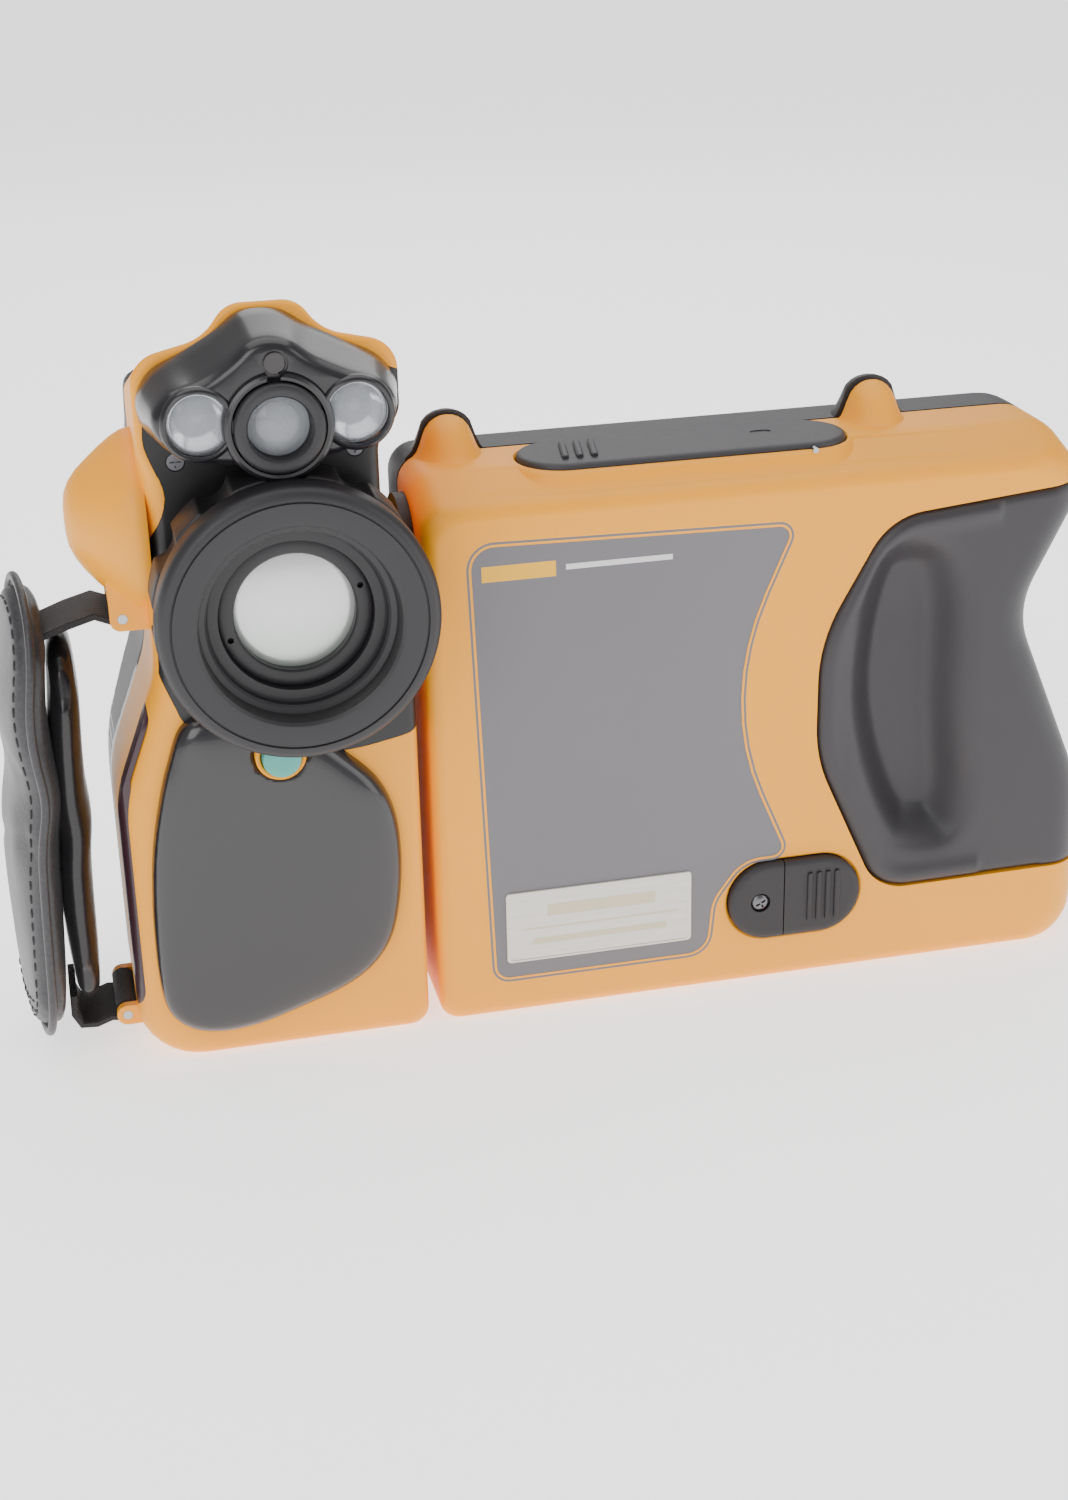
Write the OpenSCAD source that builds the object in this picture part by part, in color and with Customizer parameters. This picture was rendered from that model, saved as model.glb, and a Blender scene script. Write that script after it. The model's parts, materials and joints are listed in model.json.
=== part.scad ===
// Handheld thermal imaging camera: a display module with a hand hold at its right end, and an
// imager module with lens, lights, trigger and hand strap, joined by a hollow pivot axle.
// Millimetres. X to the right, Y into the camera from the lens side, Z up. The origin is the mouth
// of the tripod socket, in the middle of the base, and everything stands on Z = 0.

/* [Display module] */
// Height of the display module to its top deck
disp_h = 144.5; // [135:0.5:175]
// Height of the front face, below the sloping front of the deck
face_h = 139; // [125:0.5:140]
// Distance from the origin to the display module's right end
disp_right = 131; // [125:0.5:160]
// Distance from the front face to the rear face
disp_d = 52; // [46:0.5:64]
// Front face of both modules
face_y = -25; // [-30:0.5:-24]
// Plane in which the front shells end
part_y = 8; // [4:0.5:12]
// How far the waist of the right end is set in
waist_in = 21.5; // [14:0.5:24]

/* [Imager module] */
// Width of the imager module at its base
img_w = 74.3; // [70:0.5:90]
// Height of the imager shells
img_h = 192.4; // [186:0.2:215]
// Distance from the imager's front face to its rear palm swell
img_d = 65; // [60:0.5:75]
// Reach of the strap hub beyond the imager's waist
hub_reach = 17; // [10:0.5:20]
// Radius of the strap hub where it meets the shell
hub_r = 22; // [17:0.5:23]

/* [Shells] */
// Wall thickness of the shells
wall = 2.5; // [1.8:0.1:3.2]
// Thickness of the gaskets between the shells
gasket_t = 1; // [0.6:0.1:1.6]
// Gap between the two modules
seam_gap = 3.2; // [2.4:0.1:4]
// Thickness of the rubber overmoulds
rubber_t = 3; // [2:0.1:3.5]

/* [Pivot] */
// Height of the pivot axis
pivot_z = 124.7; // [116:0.1:127]
// Outer radius of the hollow axle
axle_r = 7; // [5.5:0.1:7.2]
// Radius of the cable way through the axle
axle_bore_r = 5; // [3:0.1:5.2]

/* [Infrared lens] */
// Lens axis, from the imager module's right side
lens_in = 30.3; // [30.2:0.1:36]
// Radius of the lens bezel
bezel_r = 32.5; // [30:0.1:33]
// Distance from the front face to the front of the bezel
bezel_reach = 29.2; // [29:0.1:33]
// Thickness of the bezel
bezel_t = 9.2; // [8:0.1:10]
// Radius of the lens barrel
barrel_r = 23; // [21.5:0.1:24]
// Clear radius of the front lens
window_r = 14.1; // [11:0.1:15]
// Radius over the lobes of the focus ring
focus_r = 32.6; // [30:0.1:33]
// Number of lobes on the focus ring
focus_lobes = 12; // [8:1:18]

/* [Light pod] */
// Height of the torch and camera axes
torch_z = 170.5; // [168:0.1:174]
// Distance from the camera to each torch
torch_dx = 17.6; // [17:0.1:19]
// Radius of a torch's clear window
torch_r = 6.3; // [5:0.1:6.8]
// Radius of the visible camera's barrel
cam_r = 10.2; // [9:0.1:10.5]
// Distance from the front face to the front of the pod
pod_reach = 20; // [14:0.5:24]

/* [Screen and keys] */
// Width and height of the screen's window
screen = [118, 92];
// Travel of the rear keys
key_travel = 0.8; // [0.4:0.1:1.2]
// Travel of the trigger
trigger_travel = 2.5; // [1.5:0.1:3]

/* [Hidden] */

$fn = 48;
ARC_STEPS = 6;

// Clearances: pieces that slide or turn, pieces of two bodies side by side, and overlaps for cuts
run = 0.08;
clear = 0.3;
cut = 1;

// Planes along Y
rear_part_y = part_y + gasket_t;
disp_rear_y = face_y + disp_d;
img_rear_y = face_y + img_d;

// Wall of the pivot's bush, which with its axle stays in front of the parting plane
bush_wall = 2;
pivot_y = part_y - axle_r - bush_wall - 1;

// Planes along X: the seam stands half way between the modules
seam_x = -50.1;
disp_left = seam_x + seam_gap / 2;
img_right = seam_x - seam_gap / 2;
img_left = img_right - img_w;
waist_x = img_left + 12;
lens_x = img_right - lens_in;
lens_z = pivot_z;

// ---- helpers -------------------------------------------------------------------------------

function unit(v) = v / norm(v);
function xy(p) = [p.x, p.y];

// One corner [x, y, radius] as an arc, between the corners before and after it
function corner_arc(before, corner, after) =
    let (
        u = unit(xy(before) - xy(corner)),
        v = unit(xy(after) - xy(corner)),
        half = acos(max(-1, min(1, u * v))) / 2,
        r = corner[2],
        centre = xy(corner) + unit(u + v) * r / sin(half),
        start = xy(corner) + u * r / tan(half) - centre,
        from = atan2(start.y, start.x),
        sweep = (180 - 2 * half) * sign(cross(-u, v))
    )
    [for (i = [0:ARC_STEPS]) centre + r * [cos(from + sweep * i / ARC_STEPS),
        sin(from + sweep * i / ARC_STEPS)]];

function before(list, i) = list[(i + len(list) - 1) % len(list)];
function after(list, i) = list[(i + 1) % len(list)];

// A closed outline, anticlockwise, whose corners are rounded
function rounded(corners) =
    [for (i = [0:len(corners) - 1]) each corner_arc(before(corners, i), corners[i], after(corners,
        i))];

// The same corners with every side moved inwards by d
function inset(corners, d) =
    [for (i = [0:len(corners) - 1])
        let (
            c = corners[i],
            u = unit(xy(before(corners, i)) - xy(c)),
            v = unit(xy(after(corners, i)) - xy(c)),
            half = acos(u * v) / 2,
            side = sign(cross(-u, v)),
            p = xy(c) + side * unit(u + v) * d / sin(half)
        )
        [p.x, p.y, max(c[2] - side * d, 0.3)]];

// A rectangle's corners
function box_corners(x0, y0, x1, y1, r) = [[x0, y0, r], [x1, y0, r], [x1, y1, r], [x0, y1, r]];

// Outline in X and Z, solid from y0 to y1
module slab_y(corners, y0, y1) {
    translate([0, y1, 0]) rotate([90, 0, 0]) linear_extrude(y1 - y0) polygon(rounded(corners));
}
// Outline in Y and Z, solid from x0 to x1
module slab_x(corners, x0, x1) {
    translate([x0, 0, 0]) rotate([90, 0, 90]) linear_extrude(x1 - x0) polygon(rounded(corners));
}
// Outline in X and Y, solid from z0 to z1
module slab_z(corners, z0, z1) {
    translate([0, 0, z0]) linear_extrude(z1 - z0) polygon(rounded(corners));
}
module block(low, high) { translate(low) cube(high - low); }
// Rods and rings along an axis
module rod_y(x, z, r, y0, y1) { translate([x, y0, z]) rotate([-90, 0, 0]) cylinder(r = r,
    h = y1 - y0); }
module rod_x(y, z, r, x0, x1) { translate([x0, y, z]) rotate([0, 90, 0]) cylinder(r = r,
    h = x1 - x0); }
module rod_z(x, y, r, z0, z1) { translate([x, y, z0]) cylinder(r = r, h = z1 - z0); }
// A turned piece about the lens axis: profile points are [radius, y]
module turned_lens(profile) {
    translate([lens_x, 0, lens_z]) rotate([-90, 0, 0]) rotate_extrude($fn = 72) polygon(profile);
}
// A plate with round ends along X, in the X and Z plane
module stadium_y(x0, x1, z0, z1, y0, y1) {
    r = (z1 - z0) / 2;
    rod_y(x0 + r, z0 + r, r, y0, y1);
    rod_y(x1 - r, z0 + r, r, y0, y1);
    block([x0 + r, y0, z0], [x1 - r, y1, z1]);
}
module stadium_z(x0, x1, y0, y1, z0, z1) {
    r = (y1 - y0) / 2;
    rod_z(x0 + r, y0 + r, r, z0, z1);
    rod_z(x1 - r, y0 + r, r, z0, z1);
    block([x0 + r, y0, z0], [x1 - r, y1, z1]);
}

// ---- display module: outlines --------------------------------------------------------------

disp_front_view = [
    [disp_left, 0, 5], [disp_right, 0, 11], [disp_right, 45, 40], [disp_right - waist_in, 97, 22],
    [disp_right - 7, 126, 9], [disp_right - 7, disp_h, 12], [disp_left, disp_h, 7]];
disp_side_view = [
    [face_y, 0, 4], [disp_rear_y, 0, 6], [disp_rear_y, disp_h, 7], [face_y + 18, disp_h, 14],
    [face_y, face_h, 3]];
disp_top_view = [
    [disp_left, face_y, 5], [disp_right, face_y, 10], [disp_right, disp_rear_y, 10],
    [disp_left, disp_rear_y, 5]];

module display_block(d) {
    intersection() {
        slab_y(inset(disp_front_view, d), face_y - cut, disp_rear_y + cut);
        slab_x(inset(disp_side_view, d), disp_left - cut, disp_right + cut);
        slab_z(inset(disp_top_view, d), -cut, disp_h + cut);
    }
}
module front_half(y) { block([-200, -100, -20], [200, y, 260]); }
module rear_half(y) { block([-200, y, -20], [200, 100, 260]); }

// Rubber hand hold at the right end, with a trough for the fingers
hold_view = [
    [disp_right - 61, 126, 20], [disp_right - 79, 96, 40], [disp_right - 79, 62, 40],
    [disp_right - 60, 24, 8], [disp_right + 5, 24, 1], [disp_right + 5, 133, 1]];
trough_x = disp_right - 47.5;
trough_r = 15;
trough_y = face_y - 6;
trough_z = [40, 118];

module finger_trough(grow) {
    hull() for (z = trough_z, $fn = 32) translate([trough_x, trough_y,
        z]) sphere(r = trough_r + grow);
}
module hold_skin(d) {
    difference() {
        slab_y(inset(hold_view, -d), face_y - cut, part_y);
        display_block(rubber_t);
    }
}

// Screws that close the display module: [x, z]
screw_at = [[disp_left + 8, 7.5], [disp_left + 13, disp_h - 8], [17, 7.5], [36, disp_h - 8.5],
    [disp_right - 13, 9], [disp_right - 17, disp_h - 11]];
screw_r = 1.5;
screw_head_r = 2.9;
screw_head_t = 2.4;
screw_len = 26;
boss_r = 4;

// Port cover on the front, and its parts
port = [29, 65.5, 13.5, 35.7];
port_t = 3.2;
port_seat = 1.4;
port_hinge_x = 44;
port_screw_x = 37.5;
jack_r = 3.4;
port_mid_z = (port[2] + port[3]) / 2;
port_front_y = face_y + port_seat - port_t;

// Flap on the deck
flap = [-20.5, 64.5, -16, 7];
flap_t = 2.8;
flap_seat = 1.7;
flap_z = disp_h - flap_seat;
flap_axis = [flap[1] - 12, (flap[2] + flap[3]) / 2, flap_z + flap_t / 2];
flap_pin_r = 0.75;
flap_barrel = 10;
well_r = 13;

// Screen and keys on the rear
screen_low = [disp_left + 8, 38];
screen_high = screen_low + screen;
screen_t = 2;
board_y = disp_rear_y - 12;
key_row_z = 25;
key_f_at = [screen_low.x + 22, screen_low.x + 59, screen_low.x + 96];
key_size = [16, 8];
key_proud = 1.5;
thumb_x = disp_right - 40;
nav_z = 88;
nav_r = 11;
enter_r = 5;
power_z = 25;

// ---- display module: pieces ----------------------------------------------------------------

module screw_bosses(r, y0, y1) { for (p = screw_at) rod_y(p.x, p.y, r, y0, y1); }

module bump(x, front) {
    // A rounded nose on the deck, split by the shells' parting plane
    tip_z = disp_h + 9.5;
    y = front ? part_y : rear_part_y;
    dir = front ? -1 : 1;
    intersection() {
        hull() {
            translate([x, y, tip_z - 4]) sphere(r = 4, $fn = 32);
            translate([x, y + dir * 6, disp_h - 1]) cylinder(r = 7.2, h = 2, $fn = 32);
            translate([x, y, disp_h - 2]) cylinder(r = 7.2, h = 2, $fn = 32);
            translate([x, y + dir * 10, disp_h - 3]) cylinder(r = 5.5, h = 1, $fn = 32);
        }
        if (front) front_half(part_y); else rear_half(rear_part_y);
    }
}
bump_x = [disp_left + 13, disp_right - 54.5];

module display_front_shell() color("orange") {
    difference() {
        union() {
            difference() {
                display_block(0);
                difference() {
                    display_block(wall + 0.01);
                    finger_trough(wall + rubber_t);
                    // Well wall round the flap's hinge, and the wall behind the port cover
                    block([flap[1] - 22, flap[2] - 3, disp_h - 16], [flap[1] + 3, part_y + cut,
                        disp_h]);
                    block([port[0] - 1, face_y, port[2] - 1], [port[1] + 1, face_y + 5,
                        port[3] + 1]);
                    rod_x(pivot_y, pivot_z, axle_r + 5, disp_left, disp_left + 5);
                    screw_bosses(boss_r, face_y, part_y);
                    rod_z(0, 0, 9, 0, 12);
                }
                rear_half(part_y);
            }
            for (x = bump_x) bump(x, true);
        }
        hold_skin(0);
        finger_trough(rubber_t);
        // Seat of the label panel
        slab_y(panel_view, face_y - cut, face_y + panel_t);
        // Seat and window of the port cover
        stadium_y(port[0] - clear, port[1] + clear, port[2] - clear, port[3] + clear, face_y - cut,
            face_y + port_seat);
        block([port_hinge_x + 3, face_y, port_mid_z - 6], [port[1] - 3, face_y + 6,
            port_mid_z + 6]);
        rod_y(port_screw_x, port_mid_z, 1.25, face_y, face_y + 4);
        // Seat, card slot and hinge well of the flap
        stadium_z(flap[0] - clear, flap[1] + clear, flap[2] - clear, flap[3] + clear, flap_z - 0.01,
            disp_h + cut);
        block([flap[0] + 14, -9, disp_h - 12], [flap[0] + 44, 1, disp_h]);
        intersection() {
            rod_y(flap_axis.x, flap_axis.z, well_r, flap[2] - clear, flap[3] + clear);
            stadium_z(flap[0] - clear, flap[1] + clear, flap[2] - clear, flap[3] + clear,
                flap_z - well_r, disp_h + cut);
            block([flap_axis.x - 3.2, flap[2] - clear, flap_z - well_r],
                [flap[1] + clear, flap[3] + clear, disp_h + cut]);
        }
        block([flap_axis.x - 2.2, flap_axis.y - flap_barrel / 2 - clear, flap_z - 1.5],
            [flap_axis.x + 2, flap_axis.y + flap_barrel / 2 + clear, flap_z + cut]);
        rod_y(flap_axis.x, flap_axis.z, flap_pin_r, flap[2] - 2, flap[3] + 0.6);
        // Pivot bore, screw holes and tripod bush
        rod_x(pivot_y, pivot_z, axle_r + run, disp_left - cut, disp_left + 6);
        screw_bosses(screw_r + run, face_y + wall, part_y + cut);
        rod_z(0, 0, bush_r + run, -cut, 13);
    }
}

module display_rear_shell() color("#3a3a3c") {
    difference() {
        union() {
            difference() {
                display_block(0);
                difference() {
                    display_block(wall);
                    screw_bosses(boss_r, part_y, disp_rear_y);
                }
                front_half(rear_part_y);
            }
            for (x = bump_x) bump(x, false);
        }
        // Screen opening with a seat for the window
        block([screen_low.x, disp_rear_y - screen_t, screen_low.y], [screen_high.x,
            disp_rear_y + cut, screen_high.y]);
        block([screen_low.x + 3, disp_rear_y - 6, screen_low.y + 3], [screen_high.x - 3,
            disp_rear_y + cut, screen_high.y - 3]);
        for (x = key_f_at) stadium_y(x - key_size.x / 2 - clear, x + key_size.x / 2 + clear,
            key_row_z - key_size.y / 2 - clear, key_row_z + key_size.y / 2 + clear, disp_rear_y - 5,
                disp_rear_y + cut);
        rod_y(thumb_x, nav_z, nav_r + clear, disp_rear_y - 5, disp_rear_y + cut);
        rod_y(thumb_x, power_z, key_size.y / 2 + clear + 1, disp_rear_y - 5, disp_rear_y + cut);
        // Screw ways with seats for their heads
        screw_bosses(screw_r + 0.2, part_y, disp_rear_y + cut);
        screw_bosses(screw_head_r + clear, disp_rear_y - screw_head_t - 0.6, disp_rear_y + cut);
    }
}

module gasket(view, y0) {
    difference() {
        slab_y(inset(view, 0.6), y0, y0 + gasket_t);
        slab_y(inset(view, wall), y0 - cut, y0 + gasket_t + cut);
    }
}
module display_gasket() color("black") gasket(disp_front_view, part_y);

panel_t = 0.8;
panel_view = [
    [-37.6, 130, 6], [-34, 11, 4], [23.5, 11, 6], [25, 26, 11], [33, 36.8, 10], [45.5, 36.8, 3],
    [26, 83, 70], [45.5, 128, 3]];
plate = [-31, 19, 15.5, 36];
module label_panel() color("#6b6d70") difference() {
    slab_y(panel_view, face_y, face_y + panel_t);
    slab_y(box_corners(plate[0], plate[2], plate[1], plate[3], 1), face_y - cut, face_y + 0.4);
}
module data_plate() color("silver") {
    slab_y(box_corners(plate[0] + 0.1, plate[2] + 0.1, plate[1] - 0.1, plate[3] - 0.1, 1),
        face_y - 0.1, face_y + 0.4);
}

module right_grip() color("#2b2b2e") difference() {
    union() {
        difference() {
            intersection() {
                display_block(0.01);
                hold_skin(-0.05);
            }
            front_half(face_y - cut);
        }
        intersection() {
            difference() {
                finger_trough(rubber_t - 0.05);
                finger_trough(0);
            }
            slab_y(inset(hold_view, 0.05), face_y, part_y);
        }
    }
    finger_trough(0);
}

module port_cover_anchor() color("#232325") difference() {
    stadium_y(port[0], port[1], port[2], port[3], port_front_y, face_y + port_seat);
    block([port_hinge_x - clear / 2, port_front_y - cut, 0], [port[1] + cut, face_y + 5,
        port[3] + cut]);
    rod_y(port_screw_x, port_mid_z, 1.4, port_front_y - cut, face_y + 3);
    rod_y(port_screw_x, port_mid_z, 2.7, port_front_y - cut, port_front_y + 1.2);
}
module port_cover() color("#232325") {
    difference() {
        stadium_y(port[0], port[1], port[2], port[3], port_front_y, face_y + port_seat);
        block([port[0] - cut, port_front_y - cut, 0], [port_hinge_x + clear / 2, face_y + 5,
            port[3] + cut]);
    }
    for (i = [0:2]) block([51.5 + 3.2 * i, port_front_y - 0.7, port_mid_z - 6.5], [53 + 3.2 * i,
        port_front_y, port_mid_z + 6.5]);
    // Nubs that snap into the ends of the window
    for (x = [port_hinge_x + 3.4, port[1] - 4.6])
        block([x, face_y + port_seat, port_mid_z - 4], [x + 1.2, face_y + 3.2, port_mid_z + 4]);
}
module port_cover_screw() color("#555555") difference() {
    union() {
        rod_y(port_screw_x, port_mid_z, 2.35, port_front_y - 0.1, port_front_y + 1.2);
        rod_y(port_screw_x, port_mid_z, 1.2, port_front_y + 1, face_y + 3.9);
    }
    block([port_screw_x - 1.5, port_front_y - cut, port_mid_z - 0.25], [port_screw_x + 1.5,
        port_front_y + 0.6, port_mid_z + 0.25]);
    block([port_screw_x - 0.25, port_front_y - cut, port_mid_z - 1.5], [port_screw_x + 0.25,
        port_front_y + 0.6, port_mid_z + 1.5]);
}
module power_jack() color("#151515") difference() {
    block([port_hinge_x + 5, face_y + 5, port_mid_z - 6], [port_hinge_x + 17, face_y + 17,
        port_mid_z + 6]);
    rod_y(port_hinge_x + 11, port_mid_z, jack_r, face_y + 4, face_y + 14);
}

module top_flap() color("#38383a") difference() {
    union() {
        difference() {
            stadium_z(flap[0], flap[1], flap[2], flap[3], flap_z, flap_z + flap_t);
            block([flap_axis.x - 1.7, flap_axis.y - flap_barrel / 2 - 1, 0], [flap_axis.x + 1.7,
                flap_axis.y + flap_barrel / 2 + 1, 200]);
        }
        rod_y(flap_axis.x, flap_axis.z, flap_t / 2, flap[2] + 0.6, flap[3] - 0.6);
        block([flap_axis.x - 1.7, flap_axis.y - flap_barrel / 2 - 1, flap_axis.z - 0.8],
            [flap_axis.x + 1.7, flap_axis.y + flap_barrel / 2 + 1, flap_axis.z + 0.8]);
        for (i = [0:2]) block([flap[0] + 13 + 3.4 * i, flap[2] + 6, flap_z + flap_t],
            [flap[0] + 14.3 + 3.4 * i, flap[2] + 17, flap_z + flap_t + 0.7]);
    }
    rod_y(flap_axis.x, flap_axis.z, flap_pin_r + run, flap[2] - cut, flap[3] + cut);
}
module flap_hinge_pin() color("silver") rod_y(flap_axis.x, flap_axis.z, flap_pin_r, flap[2] - 1.9,
    flap[3] + 0.5);

module card_socket() color("#8a8a8a") difference() {
    union() {
        block([flap[0] + 12, -12, disp_h - 40], [flap[0] + 46, 4, disp_h - 16.2]);
        // Feet that reach the main board
        for (x = [14, 42]) block([flap[0] + x, 3, disp_h - 40], [flap[0] + x + 2, board_y,
            disp_h - 30]);
    }
    block([flap[0] + 15.8, -6.6, disp_h - 38], [flap[0] + 42.2, -1.4, disp_h]);
}
module memory_card() color("#20305a") block([flap[0] + 16, -6.4, disp_h - 37.8], [flap[0] + 42,
    -1.6, disp_h - 10]);

module screen_window() color("#101418", 0.7) {
    block([screen_low.x + 0.1, disp_rear_y - screen_t, screen_low.y + 0.1], [screen_high.x - 0.1,
        disp_rear_y - 0.05, screen_high.y - 0.1]);
}
module lcd_panel() color("#262a30") {
    block([screen_low.x + 6, disp_rear_y - 8.5, screen_low.y + 6], [screen_high.x - 6,
        disp_rear_y - screen_t - 0.6, screen_high.y - 6]);
}
module main_board() color("darkgreen") {
    y = board_y;
    difference() {
        block([screen_low.x, y, 14], [disp_right - waist_in - 6, y + 1.6, disp_h - 14]);
        for (p = screw_at) rod_y(p.x, p.y, boss_r + 0.4, y - cut, y + 3);
        block([disp_left, y - cut, 0], [disp_left + 16, y + 3, 20]);
    }
    for (p = [[0, 60, 22], [34, 90, 16], [70, 60, 14]]) block([p.x, y - 2.2, p.y], [p.x + p.z, y,
        p.y + p.z]);
    // Key switches
    for (x = key_f_at) block([x - 3, y + 1.6, key_row_z - 3], [x + 3, disp_rear_y - 6.4,
        key_row_z + 3]);
    block([thumb_x - 3, y + 1.6, nav_z - 3], [thumb_x + 3, disp_rear_y - 6.4, nav_z + 3]);
    block([thumb_x - 3, y + 1.6, power_z - 3], [thumb_x + 3, disp_rear_y - 6.4, power_z + 3]);
}
module speaker() color("#222222") rod_y(thumb_x, 56, 9, board_y + 1.6, disp_rear_y - wall);
module case_screws() color("#444444") for (p = screw_at) difference() {
    union() {
        rod_y(p.x, p.y, screw_head_r, disp_rear_y - screw_head_t - 0.6, disp_rear_y - 0.6);
        rod_y(p.x, p.y, screw_r, disp_rear_y - screw_len, disp_rear_y - screw_head_t);
    }
    block([p.x - 1.9, disp_rear_y - 1.8, p.y - 0.3], [p.x + 1.9, disp_rear_y + cut, p.y + 0.3]);
    block([p.x - 0.3, disp_rear_y - 1.8, p.y - 1.9], [p.x + 0.3, disp_rear_y + cut, p.y + 1.9]);
}
bush_r = 5;
tripod_r = 3.175;
module tripod_bush() color("goldenrod") difference() {
    rod_z(0, 0, bush_r, 0, 10);
    rod_z(0, 0, tripod_r, -cut, 8.5);
}

module key(x, z, w, h) {
    stadium_y(x - w / 2, x + w / 2, z - h / 2, z + h / 2, disp_rear_y - 4.5,
        disp_rear_y + key_proud);
    rod_y(x, z, 1.5, disp_rear_y - 5.5, disp_rear_y - 4);
}
module key_f1() color("#505257") key(key_f_at[0], key_row_z, key_size.x, key_size.y);
module key_f2() color("#505257") key(key_f_at[1], key_row_z, key_size.x, key_size.y);
module key_f3() color("#505257") key(key_f_at[2], key_row_z, key_size.x, key_size.y);
module key_power() color("#2f6f4a") {
    rod_y(thumb_x, power_z, key_size.y / 2 + 1, disp_rear_y - 4.5, disp_rear_y + key_proud);
    rod_y(thumb_x, power_z, 1.5, disp_rear_y - 5.5, disp_rear_y - 4);
}
module key_enter() color("#c9a227") {
    rod_y(thumb_x, nav_z, enter_r, disp_rear_y - 4.5, disp_rear_y + key_proud + 1);
    rod_y(thumb_x, nav_z, 1.5, disp_rear_y - 5.5, disp_rear_y - 4);
}
module nav_pad() color("#505257") difference() {
    rod_y(thumb_x, nav_z, nav_r, disp_rear_y - 4.2, disp_rear_y + key_proud);
    rod_y(thumb_x, nav_z, enter_r + clear, disp_rear_y - 6, disp_rear_y + 5);
}

// ---- pivot ---------------------------------------------------------------------------------

bush_len = 7;
nut_t = 3.5;
axle_flange_r = axle_r + 3.5;
nut_x = img_right - bush_len - 0.4;
module pivot_axle() color("silver") difference() {
    union() {
        rod_x(pivot_y, pivot_z, axle_r, nut_x - nut_t, disp_left + 5);
        rod_x(pivot_y, pivot_z, axle_flange_r, disp_left + 5, disp_left + 7);
    }
    rod_x(pivot_y, pivot_z, axle_bore_r, nut_x - nut_t - cut, disp_left + 8);
}
module pivot_washer() color("#777777") difference() {
    rod_x(pivot_y, pivot_z, axle_r + 6, img_right + clear, disp_left);
    rod_x(pivot_y, pivot_z, axle_r + run, img_right, disp_left + cut);
}
module pivot_nut() color("dimgray") difference() {
    translate([nut_x - nut_t, pivot_y, pivot_z]) rotate([0, 90, 0]) cylinder(r = axle_r + 3.4,
        h = nut_t, $fn = 6);
    rod_x(pivot_y, pivot_z, axle_r + 0.02, nut_x - nut_t - cut, nut_x + cut);
}
module pivot_bush() color("tan") difference() {
    rod_x(pivot_y, pivot_z, axle_r + bush_wall, img_right - bush_len, img_right);
    rod_x(pivot_y, pivot_z, axle_r + run, img_right - bush_len - cut, img_right + cut);
}

// ---- imager module: outlines ---------------------------------------------------------------

pod_x = lens_x - 1;
pod_half = 30.6;
neck_x = img_right - 6;
lobe_top = img_h;
img_front_view = [
    [img_left, 0, 15], [img_right, 0, 5], [img_right, 132, 10], [neck_x, 142, 8], [neck_x, 158, 8],
    [pod_x + pod_half, 164, 7], [pod_x + pod_half, lobe_top - 11.5, 8], [pod_x + 13.5,
        lobe_top - 7.5, 12],
    [pod_x + 8, lobe_top, 7], [pod_x - 8, lobe_top, 7], [pod_x - 13.5, lobe_top - 7.5, 12],
    [pod_x - pod_half, lobe_top - 11.5, 8], [pod_x - pod_half, 160, 6], [waist_x, 152, 6],
    [waist_x, 103, 30], [img_left, 72, 40]];
img_side_view = [
    [face_y, 0, 5], [img_rear_y - 10, 0, 10], [img_rear_y, 45, 30], [img_rear_y, 105, 30],
    [img_rear_y - 14, 150, 20], [rear_part_y, img_h - 15, 8], [face_y + 5, img_h, 3],
    [face_y, img_h, 1.5]];
img_top_view = [
    [img_left, face_y, 8], [img_right, face_y, 3], [img_right, img_rear_y, 10], [img_left,
        img_rear_y, 20]];

module imager_block(d) {
    intersection() {
        slab_y(inset(img_front_view, d), face_y - cut, img_rear_y + cut);
        slab_x(inset(img_side_view, d), img_left - cut, img_right + cut);
        slab_z(inset(img_top_view, d), -cut, img_h + cut);
    }
}

// Black front cover round the lens, with a wavy left edge
cover_t = 4;
cover_view = [
    [img_left + 19, 93, 6], [img_right - 0.01, 93, 10], [img_right + 5, 120, 1], [img_right + 5,
        img_h + 5, 1],
    [img_left - 5, img_h + 5, 1], [waist_x - 4, 164, 4], [waist_x + 7, 147, 10], [waist_x - 6, 122,
        25]];
cover_screw_z = 157;
cover_screw_at = [[lens_x - 23, cover_screw_z], [lens_x + 18.5, cover_screw_z]];
cover_boss_r = 3.2;

battery = [img_right - 60, img_right - 14, face_y + wall + clear, 15, 5.3, 76];
door = [img_right - 64, img_right - 9, face_y + 8, 20];
door_t = 2.2;
door_z = 0.3;
door_axis = [door[3] - 1.4, door_z + door_t / 2];
door_pin_r = 0.6;

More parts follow.
